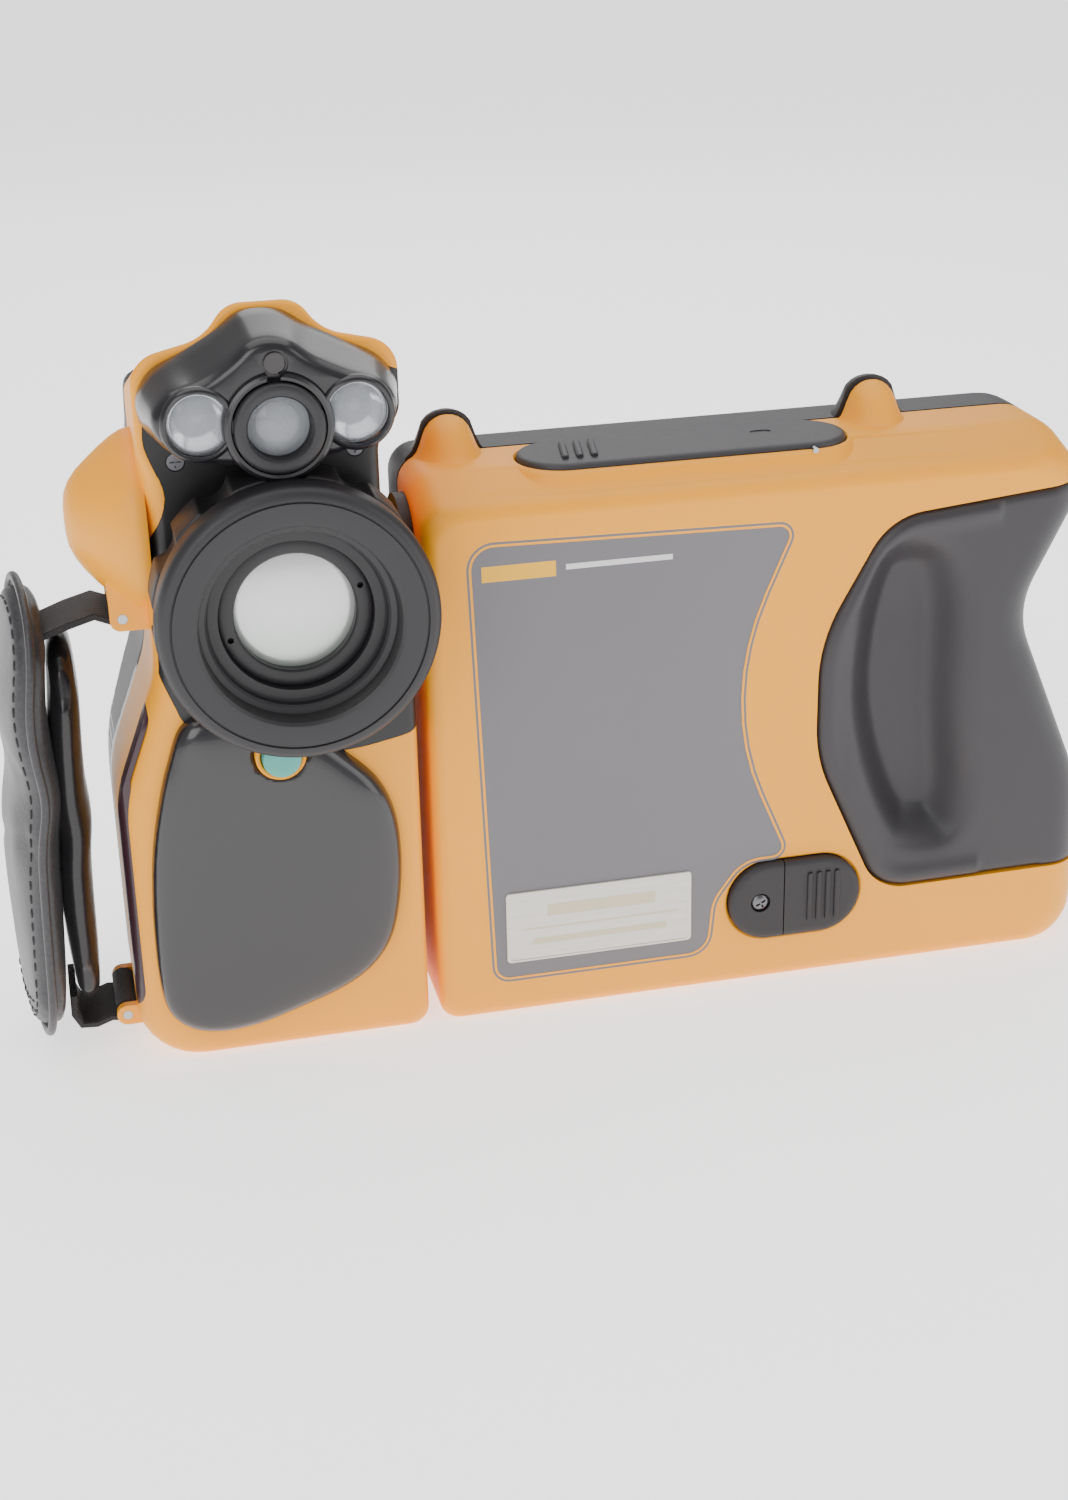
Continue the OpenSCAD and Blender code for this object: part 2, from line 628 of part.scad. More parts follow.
module imager_front_shell() color("orange") difference() {
    union() {
        difference() {
            imager_block(0);
            rear_half(part_y);
        }
        // Ears for the strap's lower pin
        block([low_pin.x - 3, ear_y[0], low_pin.y - 3], [img_left + 8, ear_y[1], low_pin.y + 3]);
    }
    strap_slot(low_pin);
    rod_y(low_pin.x, low_pin.y, pin_r + run, ear_y[0] - cut, ear_y[1] + cut);
    difference() {
        imager_block(wall + 0.01);
        rod_x(pivot_y, pivot_z, axle_r + 5.5, img_right - bush_len, img_right);
        // Lugs for the front cover's screws, from the two side walls
        block([waist_x, face_y, cover_screw_z - cover_boss_r], [cover_screw_at[0].x + cover_boss_r,
            face_y + 12, cover_screw_z + cover_boss_r]);
        block([cover_screw_at[1].x - cover_boss_r, face_y, cover_screw_z - cover_boss_r], [neck_x,
            face_y + 12, cover_screw_z + cover_boss_r]);
    }
    for (p = cover_screw_at) rod_y(p.x, p.y, 1.1 + run, face_y, face_y + 9);
    slab_y(cover_view, face_y - cut, face_y + cover_t);
    side_skin(0);
    rod_x(pivot_y, pivot_z, axle_r + bush_wall + 0.02, img_right - bush_len - cut, img_right + cut);
    rod_y(trigger_x, trigger_z, collar_r + 0.02, face_y - cut, face_y + 4);
    block([door[0] - clear, door[2] - clear, -cut], [door[1] + clear, door[3] + clear, wall + cut]);
}
module imager_rear_shell() color("#3a3a3c") difference() {
    imager_block(0);
    front_half(rear_part_y);
    imager_block(wall);
    side_skin(0);
    block([door[0] - clear, door[2] - clear, -cut], [door[1] + clear, door[3] + clear, wall + cut]);
    rod_x(door_axis.x, door_axis.y, door_pin_r, door[0] - 3, door[1] + 3);
}
module imager_gasket() color("black") difference() {
    intersection() {
        slab_y(img_front_view, part_y, part_y + gasket_t);
        imager_block(0.6);
    }
    imager_block(wall);
    side_skin(0);
    block([door[0] - clear, door[2] - clear, -cut], [door[1] + clear, door[3] + clear, wall + cut]);
}
module imager_front_cover() color("#1d1d1f") difference() {
    intersection() {
        imager_block(0);
        slab_y(inset(cover_view, 0.05), face_y - cut, face_y + cover_t);
    }
    rod_y(lens_x, lens_z, barrel_r - 4, face_y - cut, face_y + cover_t + cut);
    for (p = cover_screw_at) {
        rod_y(p.x, p.y, 2.2, face_y - cut, face_y + 1.6);
        rod_y(p.x, p.y, 1.2, face_y - cut, face_y + cover_t + cut);
    }
    rod_y(pod_x, torch_z, 6, face_y - cut, face_y + cover_t + cut);
}
module cover_screws() color("#555555") for (p = cover_screw_at) difference() {
    union() {
        rod_y(p.x, p.y, 2, face_y + 0.2, face_y + 1.6);
        rod_y(p.x, p.y, 1.1, face_y + 1.5, face_y + 8);
    }
    block([p.x - 1.3, face_y - cut, p.y - 0.2], [p.x + 1.3, face_y + 0.8, p.y + 0.2]);
    block([p.x - 0.2, face_y - cut, p.y - 1.3], [p.x + 0.2, face_y + 0.8, p.y + 1.3]);
}

hub_z = 138;
hub_y = part_y - 12;
web_half = 9;
ear_t = 2.2;
ear_y = [hub_y - web_half - clear - ear_t, hub_y + web_half + clear + ear_t];
pin_r = 1.2;
// Pins that hold the strap, [x, z]: under the hub, and at the foot of the grip
top_pin = [waist_x - 6, hub_z - hub_r + 1];
low_pin = [img_left - 2.6, 10];
module strap_slot(pin) {
    block([pin.x - 8, hub_y - web_half - clear, pin.y - 8], [pin.x + 3.3, hub_y + web_half + clear,
        pin.y + 3.3]);
}
module strap_hub() color("orange") difference() {
    union() {
        translate([waist_x, hub_y, hub_z]) rotate([0, -90, 0]) rotate_extrude($fn = 64)
            polygon([[0, 0], [hub_r, 0], [hub_r - 1.5, 5], [hub_r - 8, hub_reach - 4],
                [hub_r - 12.5, hub_reach - 0.8],
                [hub_r - 15, hub_reach], [0, hub_reach]]);
        block([top_pin.x - 3, ear_y[0], top_pin.y - 3], [waist_x, ear_y[1], top_pin.y + 8]);
    }
    difference() {
        translate([waist_x, hub_y, hub_z]) rotate([0, -90, 0]) translate([0, 0, -cut])
            cylinder(r1 = hub_r - wall, r2 = hub_r - 12, h = hub_reach - wall);
        block([top_pin.x - 5, ear_y[0], top_pin.y - 3], [waist_x, ear_y[1], top_pin.y + 6]);
    }
    strap_slot(top_pin);
    rod_y(top_pin.x, top_pin.y, pin_r + run, ear_y[0] - cut, ear_y[1] + cut);
}

// Rubber on the left side of the grip
skin_t = 1.5;
module side_skin(d) {
    difference() {
        slab_x(inset([[face_y + 3, 14, 6], [img_rear_y - 14, 14, 6], [img_rear_y - 10, 96, 6],
            [face_y + 3, 96, 6]], d),
            img_left - cut, img_left + 20);
        imager_block(skin_t - d);
    }
}
module side_grip() color("#4a2226") difference() {
    intersection() {
        imager_block(0.01);
        side_skin(0.05);
    }
    front_half(face_y);
}

pad_view = [
    [img_left + 6, 7.5, 10], [img_right - 32, 8, 40], [img_right - 5.2, 26, 24], [img_right - 5.2,
        76, 22],
    [img_right - 20, 91, 8], [img_left + 9, 91, 8], [img_left + 0.8, 55, 60]];
pad_t = 6.5;
module front_grip_pad() color("#27272a") difference() {
    union() {
        slab_y(pad_view, face_y - 2.5, face_y);
        slab_y(inset(pad_view, 2), face_y - 4.8, face_y - 2.5);
        slab_y(inset(pad_view, 5), face_y - pad_t, face_y - 4.8);
    }
    rod_y(trigger_x, trigger_z, collar_r + 0.05, face_y - pad_t - cut, face_y + cut);
}
trigger_x = lens_x - 4.5;
trigger_z = 84.5;
collar_r = 6.2;
module trigger_collar() color("orange") difference() {
    rod_y(trigger_x, trigger_z, collar_r, face_y - pad_t - 1.5, face_y + 4);
    rod_y(trigger_x, trigger_z, collar_r - 1.3, face_y - pad_t - 3, face_y + 5);
}
module trigger() color("#2fa58e") {
    rod_y(trigger_x, trigger_z, collar_r - 1.3 - clear / 2, face_y - pad_t - trigger_travel - 1,
        face_y + 2);
    rod_y(trigger_x, trigger_z, 2, face_y + 2, face_y + 6);
}

module battery_pack() color("#303030") slab_z(
    [[battery[0], battery[2], 4], [battery[1], battery[2], 4], [battery[1], battery[3], 4],
        [battery[0], battery[3], 4]],
    battery[4], battery[5]);
module battery_door() color("#2a2a2c") difference() {
    union() {
        difference() {
            block([door[0], door[2], door_z], [door[1], door[3], door_z + door_t]);
            block([door[0] - cut, door_axis.x, 0], [door[1] + cut, door[3] + cut, 10]);
        }
        rod_x(door_axis.x, door_axis.y, door_t / 2, door[0], door[1]);
        block([door[0] + 18, door[2] + 4, door_z + door_t], [door[1] - 18, door[2] + 5.5,
            door_z + door_t + 2.5]);
    }
    rod_x(door_axis.x, door_axis.y, door_pin_r + run, door[0] - cut, door[1] + cut);
    for (i = [0:3]) block([door[0] + 20, door[2] + 6 + 2 * i, -cut], [door[1] - 20,
        door[2] + 7 + 2 * i, door_z + 0.5]);
}
module battery_door_pin() color("silver") rod_x(door_axis.x, door_axis.y, door_pin_r, door[0] - 2.9,
    door[1] + 2.9);

// ---- light pod -----------------------------------------------------------------------------

pod_front_y = face_y - pod_reach;
pod_top = img_h - 1.5;
pod_view = [
    [pod_x - pod_half + 1.5, 158.5, 10], [pod_x + pod_half - 1.5, 158.5, 10],
    [pod_x + pod_half - 1.5, pod_top - 11, 9], [pod_x + 13.5, pod_top - 7.5, 12], [pod_x + 7.5,
        pod_top, 6.5],
    [pod_x - 7.5, pod_top, 6.5], [pod_x - 13.5, pod_top - 7.5, 12], [pod_x - pod_half + 1.5,
        pod_top - 11, 9]];
module light_pod() color("#202022") difference() {
    union() {
        slab_y(pod_view, face_y - 6, face_y);
        slab_y(inset(pod_view, 1), face_y - 11, face_y - 6);
        slab_y(inset(pod_view, 2), pod_front_y, face_y - 11);
    }
    for (s = [-1, 1]) rod_y(pod_x + s * torch_dx, torch_z, torch_r + 0.6, pod_front_y - cut,
        face_y - 3);
    rod_y(pod_x, torch_z - 1.7, cam_r - 0.8, pod_front_y - cut, face_y - 3);
    rod_y(pod_x, torch_z + 12.2, 2.4, pod_front_y - cut, face_y - 3);
    rod_y(pod_x, torch_z, 5.5, face_y - 4, face_y + cut);
}
module torch_reflectors() color("silver") for (s = [-1, 1]) difference() {
    translate([pod_x + s * torch_dx, pod_front_y + 2, torch_z]) rotate([-90, 0,
        0]) cylinder(r = torch_r + 0.55, h = 9);
    translate([pod_x + s * torch_dx, pod_front_y + 2, torch_z]) rotate([-90, 0, 0]) translate([0, 0,
        -0.01]) cylinder(r1 = torch_r, r2 = 2, h = 7);
}
module torch_windows() color("lightblue", 0.5) for (s = [-1, 1])
    rod_y(pod_x + s * torch_dx, torch_z, torch_r + 0.5, pod_front_y + 0.6, pod_front_y + 1.95);
cam_z = torch_z - 1.7;
module camera_barrel() color("#2c2c2e") difference() {
    union() {
        rod_y(pod_x, cam_z, cam_r, pod_front_y - 3, pod_front_y);
        rod_y(pod_x, cam_z, cam_r - 0.85, pod_front_y - 0.5, face_y - 4);
    }
    rod_y(pod_x, cam_z, cam_r - 3, pod_front_y - 4, pod_front_y + 3);
    rod_y(pod_x, cam_z, 5, pod_front_y, face_y - 8);
}
module camera_window() color("lightblue", 0.5) rod_y(pod_x, cam_z, cam_r - 3.05, pod_front_y - 0.6,
    pod_front_y + 1);
module laser_window() color("darkred") rod_y(pod_x, torch_z + 12.2, 2.35, pod_front_y + 1,
    pod_front_y + 11);

// ---- infrared lens -------------------------------------------------------------------------

bezel_y = face_y - bezel_reach;
bezel_back_y = bezel_y + bezel_t;
focus_y = [bezel_back_y + clear, face_y - 6];
ring_y = bezel_y + 10.2;
cell_r = barrel_r - 6.5;
module lens_barrel() color("#1b1b1d") turned_lens([
    [barrel_r - 5, bezel_back_y], [barrel_r, bezel_back_y], [barrel_r, face_y], [barrel_r - 4.2,
        face_y],
    [barrel_r - 4.2, face_y + cover_t + 14], [cell_r, face_y + cover_t + 14], [cell_r,
        ring_y + 7.8], [barrel_r - 5, ring_y + 7.8]]);
module lens_bezel() color("#222224") turned_lens([
    [barrel_r - 5, bezel_back_y], [barrel_r - 5, ring_y - 2], [window_r + 6.6, bezel_y + 5],
        [window_r + 7.4, bezel_y + 1.2],
    [window_r + 9, bezel_y], [bezel_r - 3.4, bezel_y], [bezel_r - 3.4, bezel_y + 0.5], [bezel_r - 3,
        bezel_y + 0.5],
    [bezel_r - 3, bezel_y], [bezel_r - 1.6, bezel_y + 0.3], [bezel_r, bezel_y + 2.6], [bezel_r,
        bezel_back_y - 1.2], [bezel_r - 1.2, bezel_back_y]]);
module lens_retaining_ring() color("#262628") difference() {
    turned_lens([[window_r, ring_y + 0.6], [window_r + 0.6, ring_y], [barrel_r - 5.05, ring_y],
        [barrel_r - 5.05, ring_y + 3.2], [window_r, ring_y + 3.2]]);
    for (s = [-1, 1]) rod_y(lens_x + s * (window_r + 2.2), lens_z, 0.7, ring_y - cut, ring_y + 2);
}
module front_lens() color("#cfd6d0") turned_lens([
    [0, ring_y + 2.2], [window_r * 0.5, ring_y + 2.5], [window_r, ring_y + 3.5], [window_r + 2,
        ring_y + 3.5],
    [window_r + 2, ring_y + 7.5], [0, ring_y + 7.2]]);
module focus_ring() color("#39393b") difference() {
    rod_y(lens_x, lens_z, focus_r, focus_y[0], focus_y[1]);
    for (i = [0:focus_lobes - 1]) {
        a = 360 / focus_lobes * i;
        rod_y(lens_x + (focus_r + 3) * cos(a), lens_z + (focus_r + 3) * sin(a), 5.4,
            focus_y[0] - cut, focus_y[1] + cut);
    }
    rod_y(lens_x, lens_z, barrel_r + run, focus_y[0] - cut, focus_y[1] + cut);
}
module focus_cell() color("#8c7a4f") difference() {
    rod_y(lens_x, lens_z, cell_r - run, face_y + 1, face_y + 9);
    rod_y(lens_x, lens_z, cell_r - 4, face_y, face_y + 3);
    rod_y(lens_x, lens_z, cell_r - 5, face_y + 6, face_y + 10);
}
module infrared_detector() color("#b08d3c") {
    y = face_y + cover_t + 14.5;
    block([lens_x - 18, y, lens_z - 20], [lens_x + 18, y + 3, lens_z + 20]);
    block([lens_x - 9, y - 4, lens_z - 9], [lens_x + 9, y, lens_z + 9]);
}

// ---- hand strap ----------------------------------------------------------------------------

strap_x = [img_left - 28.5, img_left - 17];
liner_x = [strap_x[1] + 0.6, img_left - 6];
strap_y = [face_y + 3, face_y + 47];
strap_z = [4, 124];
web_t = 1.8;

module strap_pad() color("#1a1a1a") slab_x(
    box_corners(strap_y[0], strap_z[0], strap_y[1], strap_z[1], 14), strap_x[0], strap_x[1]);
module strap_liner() color("#141414") slab_x(
    box_corners(strap_y[0] + 3, strap_z[0] + 7.5, strap_y[1] - 3, strap_z[1] - 12, 12), liner_x[0],
        liner_x[1]);

// One end of the webbing: a strip from the liner's end to a loop round its pin
module web_end(from, pin) {
    way = unit(pin - from);
    side = [-way.y, way.x] * web_t / 2;
    end = pin - way * (pin_r + clear + 0.4);
    difference() {
        union() {
            rod_y(pin.x, pin.y, pin_r + clear + web_t, hub_y - web_half, hub_y + web_half);
            translate([0, hub_y + web_half, 0]) rotate([90, 0, 0]) linear_extrude(2 * web_half)
                polygon([from + side, from - side, end - side, end + side]);
        }
        rod_y(pin.x, pin.y, pin_r + clear, hub_y - web_half - cut, hub_y + web_half + cut);
    }
}
module strap_webbing() color("#0c0c0c") {
    web_end([strap_x[1] + 2, strap_z[1] - 9], top_pin);
    web_end([strap_x[1] + 2, strap_z[0] + 3.4], low_pin);
}
module strap_pins() color("silver") {
    for (p = [top_pin, low_pin]) rod_y(p.x, p.y, pin_r, ear_y[0], ear_y[1]);
}

// ---- nodes ---------------------------------------------------------------------------------

display_front_shell();
display_rear_shell();
display_gasket();
label_panel();
data_plate();
right_grip();
port_cover_anchor();
port_cover();
port_cover_screw();
power_jack();
top_flap();
flap_hinge_pin();
memory_card();
card_socket();
screen_window();
lcd_panel();
main_board();
speaker();
case_screws();
tripod_bush();
pivot_axle();
pivot_washer();
pivot_nut();
key_f1();
key_f2();
key_f3();
key_power();
key_enter();
nav_pad();
imager_front_shell();
imager_rear_shell();
imager_gasket();
imager_front_cover();
cover_screws();
pivot_bush();
strap_hub();
front_grip_pad();
side_grip();
trigger_collar();
trigger();
battery_pack();
battery_door();
battery_door_pin();
light_pod();
torch_reflectors();
torch_windows();
camera_barrel();
camera_window();
laser_window();
lens_barrel();
lens_bezel();
lens_retaining_ring();
front_lens();
focus_ring();
focus_cell();
infrared_detector();
strap_pad();
strap_liner();
strap_webbing();
strap_pins();
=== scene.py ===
# %% [markdown]
# # A handheld thermal imaging camera
# Two moulded modules hang on one pivot: a flat screen module with a hand hold, and an imager
# module with the infrared lens, a light pod, a trigger and a padded hand strap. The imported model
# is loaded first. It fixes every size and place, and the pieces made here are fitted to it.

import json
import math

import bmesh
import bpy
from mathutils import Matrix, Vector


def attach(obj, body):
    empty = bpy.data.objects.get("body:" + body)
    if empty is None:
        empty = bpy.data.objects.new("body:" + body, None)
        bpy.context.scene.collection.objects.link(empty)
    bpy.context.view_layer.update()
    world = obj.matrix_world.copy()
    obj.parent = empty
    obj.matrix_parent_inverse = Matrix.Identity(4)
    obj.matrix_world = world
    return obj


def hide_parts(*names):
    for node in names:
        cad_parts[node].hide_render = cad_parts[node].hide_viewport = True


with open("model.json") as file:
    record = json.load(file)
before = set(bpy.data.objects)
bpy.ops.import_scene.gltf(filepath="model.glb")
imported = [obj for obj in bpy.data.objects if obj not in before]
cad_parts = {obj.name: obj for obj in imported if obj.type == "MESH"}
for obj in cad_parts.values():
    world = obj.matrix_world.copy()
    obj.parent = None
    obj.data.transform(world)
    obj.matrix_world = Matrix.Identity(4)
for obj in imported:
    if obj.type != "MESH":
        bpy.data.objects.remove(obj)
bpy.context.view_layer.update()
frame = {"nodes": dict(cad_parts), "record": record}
nodes = frame["nodes"]
MM = 0.001

# %% [markdown]
# ## Camera
# A long lens would flatten the object. This view is taken from about half a metre, a little to
# the left and above, so the nearer lens looks larger than the far end of the hand hold. The
# camera's three axes are worked out from its turn, height and roll, and set as one matrix.

# %% Camera
TURN, RISE, ROLL = math.radians(-12.83), math.radians(23.61), math.radians(-1.32)
back = Vector((math.sin(TURN) * math.cos(RISE), -math.cos(TURN) * math.cos(RISE), math.sin(RISE)))
side = Vector((math.cos(TURN), math.sin(TURN), 0))
above = back.cross(side)
right = side * math.cos(ROLL) + above * math.sin(ROLL)
up = above * math.cos(ROLL) - side * math.sin(ROLL)
bpy.ops.object.camera_add()
camera = bpy.context.object
camera.matrix_world = Matrix(
    [(*row, place) for row, place in zip(zip(right, up, back), (-0.1368, -0.5267, 0.3002))]
    + [(0, 0, 0, 1)]
)
camera.data.sensor_fit = "VERTICAL"
camera.data.sensor_height = 36
camera.data.lens = 53.82
camera.data.clip_start = 0.01
bpy.context.scene.camera = camera
print("camera at", [round(v, 3) for v in camera.location])

# %% [markdown]
# ## Light and floor
# The floor is a plain white sheet that also shines a little by itself, so that only a soft contact
# shade shows under the object. Large area lights give the long soft highlights that moulded
# plastic and rubber show: one over the top, one from the front left, a weak one from the right
# and one from behind, which draws the line along the rolled rear edges.

# %% Light and floor
def softbox(name, place, target, size, power):
    """An area light at place, turned towards target."""
    bpy.ops.object.light_add(type="AREA", location=place)
    lamp = bpy.context.object
    lamp.name = name
    lamp.data.shape = "RECTANGLE"
    lamp.data.size, lamp.data.size_y = size
    lamp.data.energy = power
    aim = Vector(target) - Vector(place)
    lamp.rotation_euler = aim.to_track_quat("-Z", "Y").to_euler()
    return lamp


middle = (0.0, 0.0, 0.08)
softbox("top_light", (0.0, 0.1, 0.95), middle, (1.2, 0.8), 5.5)
softbox("front_light", (-0.75, -0.95, 0.75), middle, (0.7, 0.9), 7)
softbox("side_light", (0.95, -0.6, 0.5), middle, (0.5, 0.9), 3.5)
softbox("back_light", (0.2, 1.1, 0.8), middle, (1.0, 0.7), 4)

world = bpy.data.worlds.new("pale room")
bpy.context.scene.world = world
world.use_nodes = True
world.node_tree.nodes["Background"].inputs["Color"].default_value = (1, 1, 1, 1)
world.node_tree.nodes["Background"].inputs["Strength"].default_value = 0.45

bpy.ops.mesh.primitive_plane_add(size=60)
floor = bpy.context.object
floor.name = "floor"
paper = bpy.data.materials.new("white_paper")
paper.use_nodes = True
sheet_shader = paper.node_tree.nodes["Principled BSDF"]
sheet_shader.inputs["Base Color"].default_value = (0.9, 0.9, 0.9, 1)
sheet_shader.inputs["Roughness"].default_value = 0.8
sheet_shader.inputs["Emission Color"].default_value = (1, 1, 1, 1)
sheet_shader.inputs["Emission Strength"].default_value = 1.4
floor.data.materials.append(paper)
print("four lights and a floor")

# %% [markdown]
# ## Outlines
# Both shells are described by outlines whose corners are rounded, as a designer draws them. An
# outline is a list of corners [x, z, radius]. Growing or shrinking moves each side along its own
# normal, which is what a draft, a chamfer or a rolled edge does.

# %% Outlines
def lerp(a, b, t):
    return a + (b - a) * t


def rounded(corners, steps=8):
    """A closed outline whose corners are arcs: the same number of points for each corner."""
    points = []
    for i, (x, z, r) in enumerate(corners):
        here = Vector((x, z))
        u = (Vector(corners[i - 1][:2]) - here).normalized()
        v = (Vector(corners[(i + 1) % len(corners)][:2]) - here).normalized()
        half = math.acos(max(-1, min(1, u.dot(v)))) / 2
        centre = here + (u + v).normalized() * r / math.sin(half)
        start = here + u * r / math.tan(half) - centre
        sweep = (math.pi - 2 * half) * math.copysign(1, -(u.x * v.y - u.y * v.x))
        for k in range(steps + 1):
            a = sweep * k / steps
            c, s = math.cos(a), math.sin(a)
            points.append(centre + Vector((start.x * c - start.y * s, start.x * s + start.y * c)))
    return points


def grown(corners, d):
    """The same corners with every side moved outwards by d."""
    out = []
    for i, (x, z, r) in enumerate(corners):
        here = Vector((x, z))
        u = (Vector(corners[i - 1][:2]) - here).normalized()
        v = (Vector(corners[(i + 1) % len(corners)][:2]) - here).normalized()
        half = math.acos(max(-1, min(1, u.dot(v)))) / 2
        turn = math.copysign(1, -(u.x * v.y - u.y * v.x))
        p = here - (u + v).normalized() * turn * d / math.sin(half)
        out.append((p.x, p.y, max(r + turn * d, 0.3)))
    return out


def flowing(points, count=96):
    """A smooth closed curve through points, at count even steps."""
    n = len(points)
    fine = []
    for i in range(n):
        p0, p1, p2, p3 = (Vector(points[(i + k - 1) % n]) for k in range(4))
        for k in range(12):
            t = k / 12
            fine.append(0.5 * (2 * p1 + (p2 - p0) * t + (2 * p0 - 5 * p1 + 4 * p2 - p3) * t * t
                               + (3 * p1 - p0 - 3 * p2 + p3) * t ** 3))
    return evenly(fine, count)


def evenly(points, count):
    """The same closed line, cut at count even steps."""
    n = len(points)
    runs = [(points[(i + 1) % n] - points[i]).length for i in range(n)]
    step, out, i, gone = sum(runs) / count, [], 0, 0.0
    for k in range(count):
        want = k * step
        while gone + runs[i] < want:
            gone += runs[i]
            i += 1
        out.append(points[i].lerp(points[(i + 1) % n], (want - gone) / max(runs[i], 1e-9)))
    return out


def shifted(points, d):
    """A closed line moved outwards by d along its own normals, for smooth curves."""
    n = len(points)
    area = sum(points[i - 1].x * points[i].y - points[i].x * points[i - 1].y for i in range(n))
    way = math.copysign(1, area)
    out = []
    for i in range(n):
        t = (points[(i + 1) % n] - points[i - 1]).normalized()
        out.append(points[i] + Vector((t.y, -t.x)) * d * way)
    return out


def circle(x, z, r, count=64):
    return [Vector((x + r * math.cos(a), z + r * math.sin(a)))
            for a in (2 * math.pi * k / count for k in range(count))]


def stadium(x0, x1, z0, z1, grow=0, steps=16):
    """A plate's outline with round ends."""
    r = (z1 - z0) / 2
    return rounded([(x0 - grow, z0 - grow, r + grow - 0.01),
                    (x1 + grow, z0 - grow, r + grow - 0.01),
                    (x1 + grow, z1 + grow, r + grow - 0.01),
                    (x0 - grow, z1 + grow, r + grow - 0.01)],
                   steps)


def bell(z, middle, width):
    """A smooth swell of height 1 round middle."""
    return math.exp(-((z - middle) / width) ** 2)


def box_corners(x0, z0, x1, z1, r):
    return [(x0, z0, r), (x1, z0, r), (x1, z1, r), (x0, z1, r)]


print("a test corner has", len(rounded(box_corners(0, 0, 10, 10, 2))), "points")

# %% [markdown]
# ## From outline to skin
# Most pieces are skins that run from ring to ring. A grid is added, its rows are laid on the
# rings, its two side edges are merged, and its ends are filled. That gives clean four-sided
# faces all round, so highlights run smoothly along a rolled edge.

# %% Skins and turned pieces
def only(piece):
    """Select one object and make it active."""
    if bpy.context.object and bpy.context.object.mode != "OBJECT":
        bpy.ops.object.mode_set(mode="OBJECT")
    bpy.ops.object.select_all(action="DESELECT")
    piece.select_set(True)
    bpy.context.view_layer.objects.active = piece
    return piece


def skin(name, rings, ends=(True, True), smooth=35):
    """A skin over rings of points [x, y, z] in millimetres, all with the same count."""
    bpy.ops.object.select_all(action="DESELECT")
    rows, cols = len(rings), len(rings[0])
    bpy.ops.mesh.primitive_grid_add(x_subdivisions=cols, y_subdivisions=rows - 1, size=MM)
    piece = bpy.context.object
    piece.name = piece.data.name = name
    flat = []
    for ring in rings:
        for p in [*ring, ring[0]]:
            flat += [p[0] * MM, p[1] * MM, p[2] * MM]
    piece.data.vertices.foreach_set("co", flat)
    bpy.ops.object.mode_set(mode="EDIT")
    bpy.ops.mesh.select_all(action="SELECT")
    bpy.ops.mesh.remove_doubles(threshold=1e-6)
    for ring, wanted in ((rings[0], ends[0]), (rings[-1], ends[1])):
        if wanted:
            bpy.ops.mesh.select_all(action="DESELECT")
            spots = [Vector(p) * MM for p in ring]
            mesh = bmesh.from_edit_mesh(piece.data)
            on_ring = {v for v in mesh.verts if v.is_boundary
                       and any((v.co - p).length_squared < 1e-12 for p in spots)}
            for edge in mesh.edges:
                edge.select_set(edge.is_boundary and on_ring.issuperset(edge.verts))
            mesh.select_flush(False)
            bmesh.update_edit_mesh(piece.data)
            bpy.ops.mesh.edge_face_add()
            bpy.ops.mesh.select_all(action="DESELECT")
    bpy.ops.mesh.select_all(action="SELECT")
    bpy.ops.mesh.normals_make_consistent(inside=False)
    if bmesh.from_edit_mesh(piece.data).calc_volume(signed=True) < 0:
        bpy.ops.mesh.flip_normals()
    bpy.ops.object.mode_set(mode="OBJECT")
    bpy.ops.object.shade_smooth_by_angle(angle=math.radians(smooth))
    return piece


def along_y(levels):
    """Rings across Y from pairs of y and a flat outline."""
    return [[(p[0], y, p[1]) for p in points] for y, points in levels]


def along_x(levels):
    return [[(x, p[0], p[1]) for p in points] for x, points in levels]


def along_z(levels):
    return [[(p[0], p[1], z) for p in points] for z, points in levels]


def turned(name, x, z, profile, count=96, smooth=35):
    """A piece turned about a line along Y: a closed profile of [radius, y]."""
    closed = [*profile, profile[0]]
    return skin(name, along_y([(y, circle(x, z, max(r, 0.001), count)) for r, y in closed]),
                (False, False), smooth)


def applied(piece, kind, **settings):
    """Add one modifier with these settings and apply it."""
    only(piece)
    modifier = piece.modifiers.new(kind.title(), kind)
    for key, value in settings.items():
        setattr(modifier, key, value)
    bpy.ops.object.modifier_apply(modifier=modifier.name)
    return piece


def carve(piece, *tools, operation="DIFFERENCE"):
    """Cut tools out of a piece, or join or intersect them, and remove the tools."""
    for tool in tools:
        applied(piece, "BOOLEAN", operation=operation, object=tool, solver="EXACT")
        bpy.data.objects.remove(tool)
    return piece


def shade(piece, angle=35):
    only(piece)
    bpy.ops.object.shade_smooth_by_angle(angle=math.radians(angle))
    return piece


def remould(piece, voxel=0.8, passes=4):
    """Turn a piece into fine even faces and melt its edges together, as rubber is moulded."""
    applied(piece, "REMESH", mode="VOXEL", voxel_size=voxel * MM, use_smooth_shade=True)
    if passes:
        applied(piece, "SMOOTH", factor=0.5, iterations=passes)
    return piece


def joined(name, *pieces):
    """Several pieces as one object."""
    only(pieces[0])
    for piece in pieces[1:]:
        piece.select_set(True)
    bpy.ops.object.join()
    pieces[0].name = name
    return pieces[0]


def block(name, low, high):
    """A plain box, only used as a tool that shapes other pieces."""
    bpy.ops.object.select_all(action="DESELECT")
    size = [(b - a) * MM for a, b in zip(low, high)]
    place = [(a + b) / 2 * MM for a, b in zip(low, high)]
    bpy.ops.mesh.primitive_cube_add(size=1, location=place, scale=size)
    bpy.ops.object.transform_apply(location=True, rotation=True, scale=True)
    bpy.context.object.name = name
    return bpy.context.object


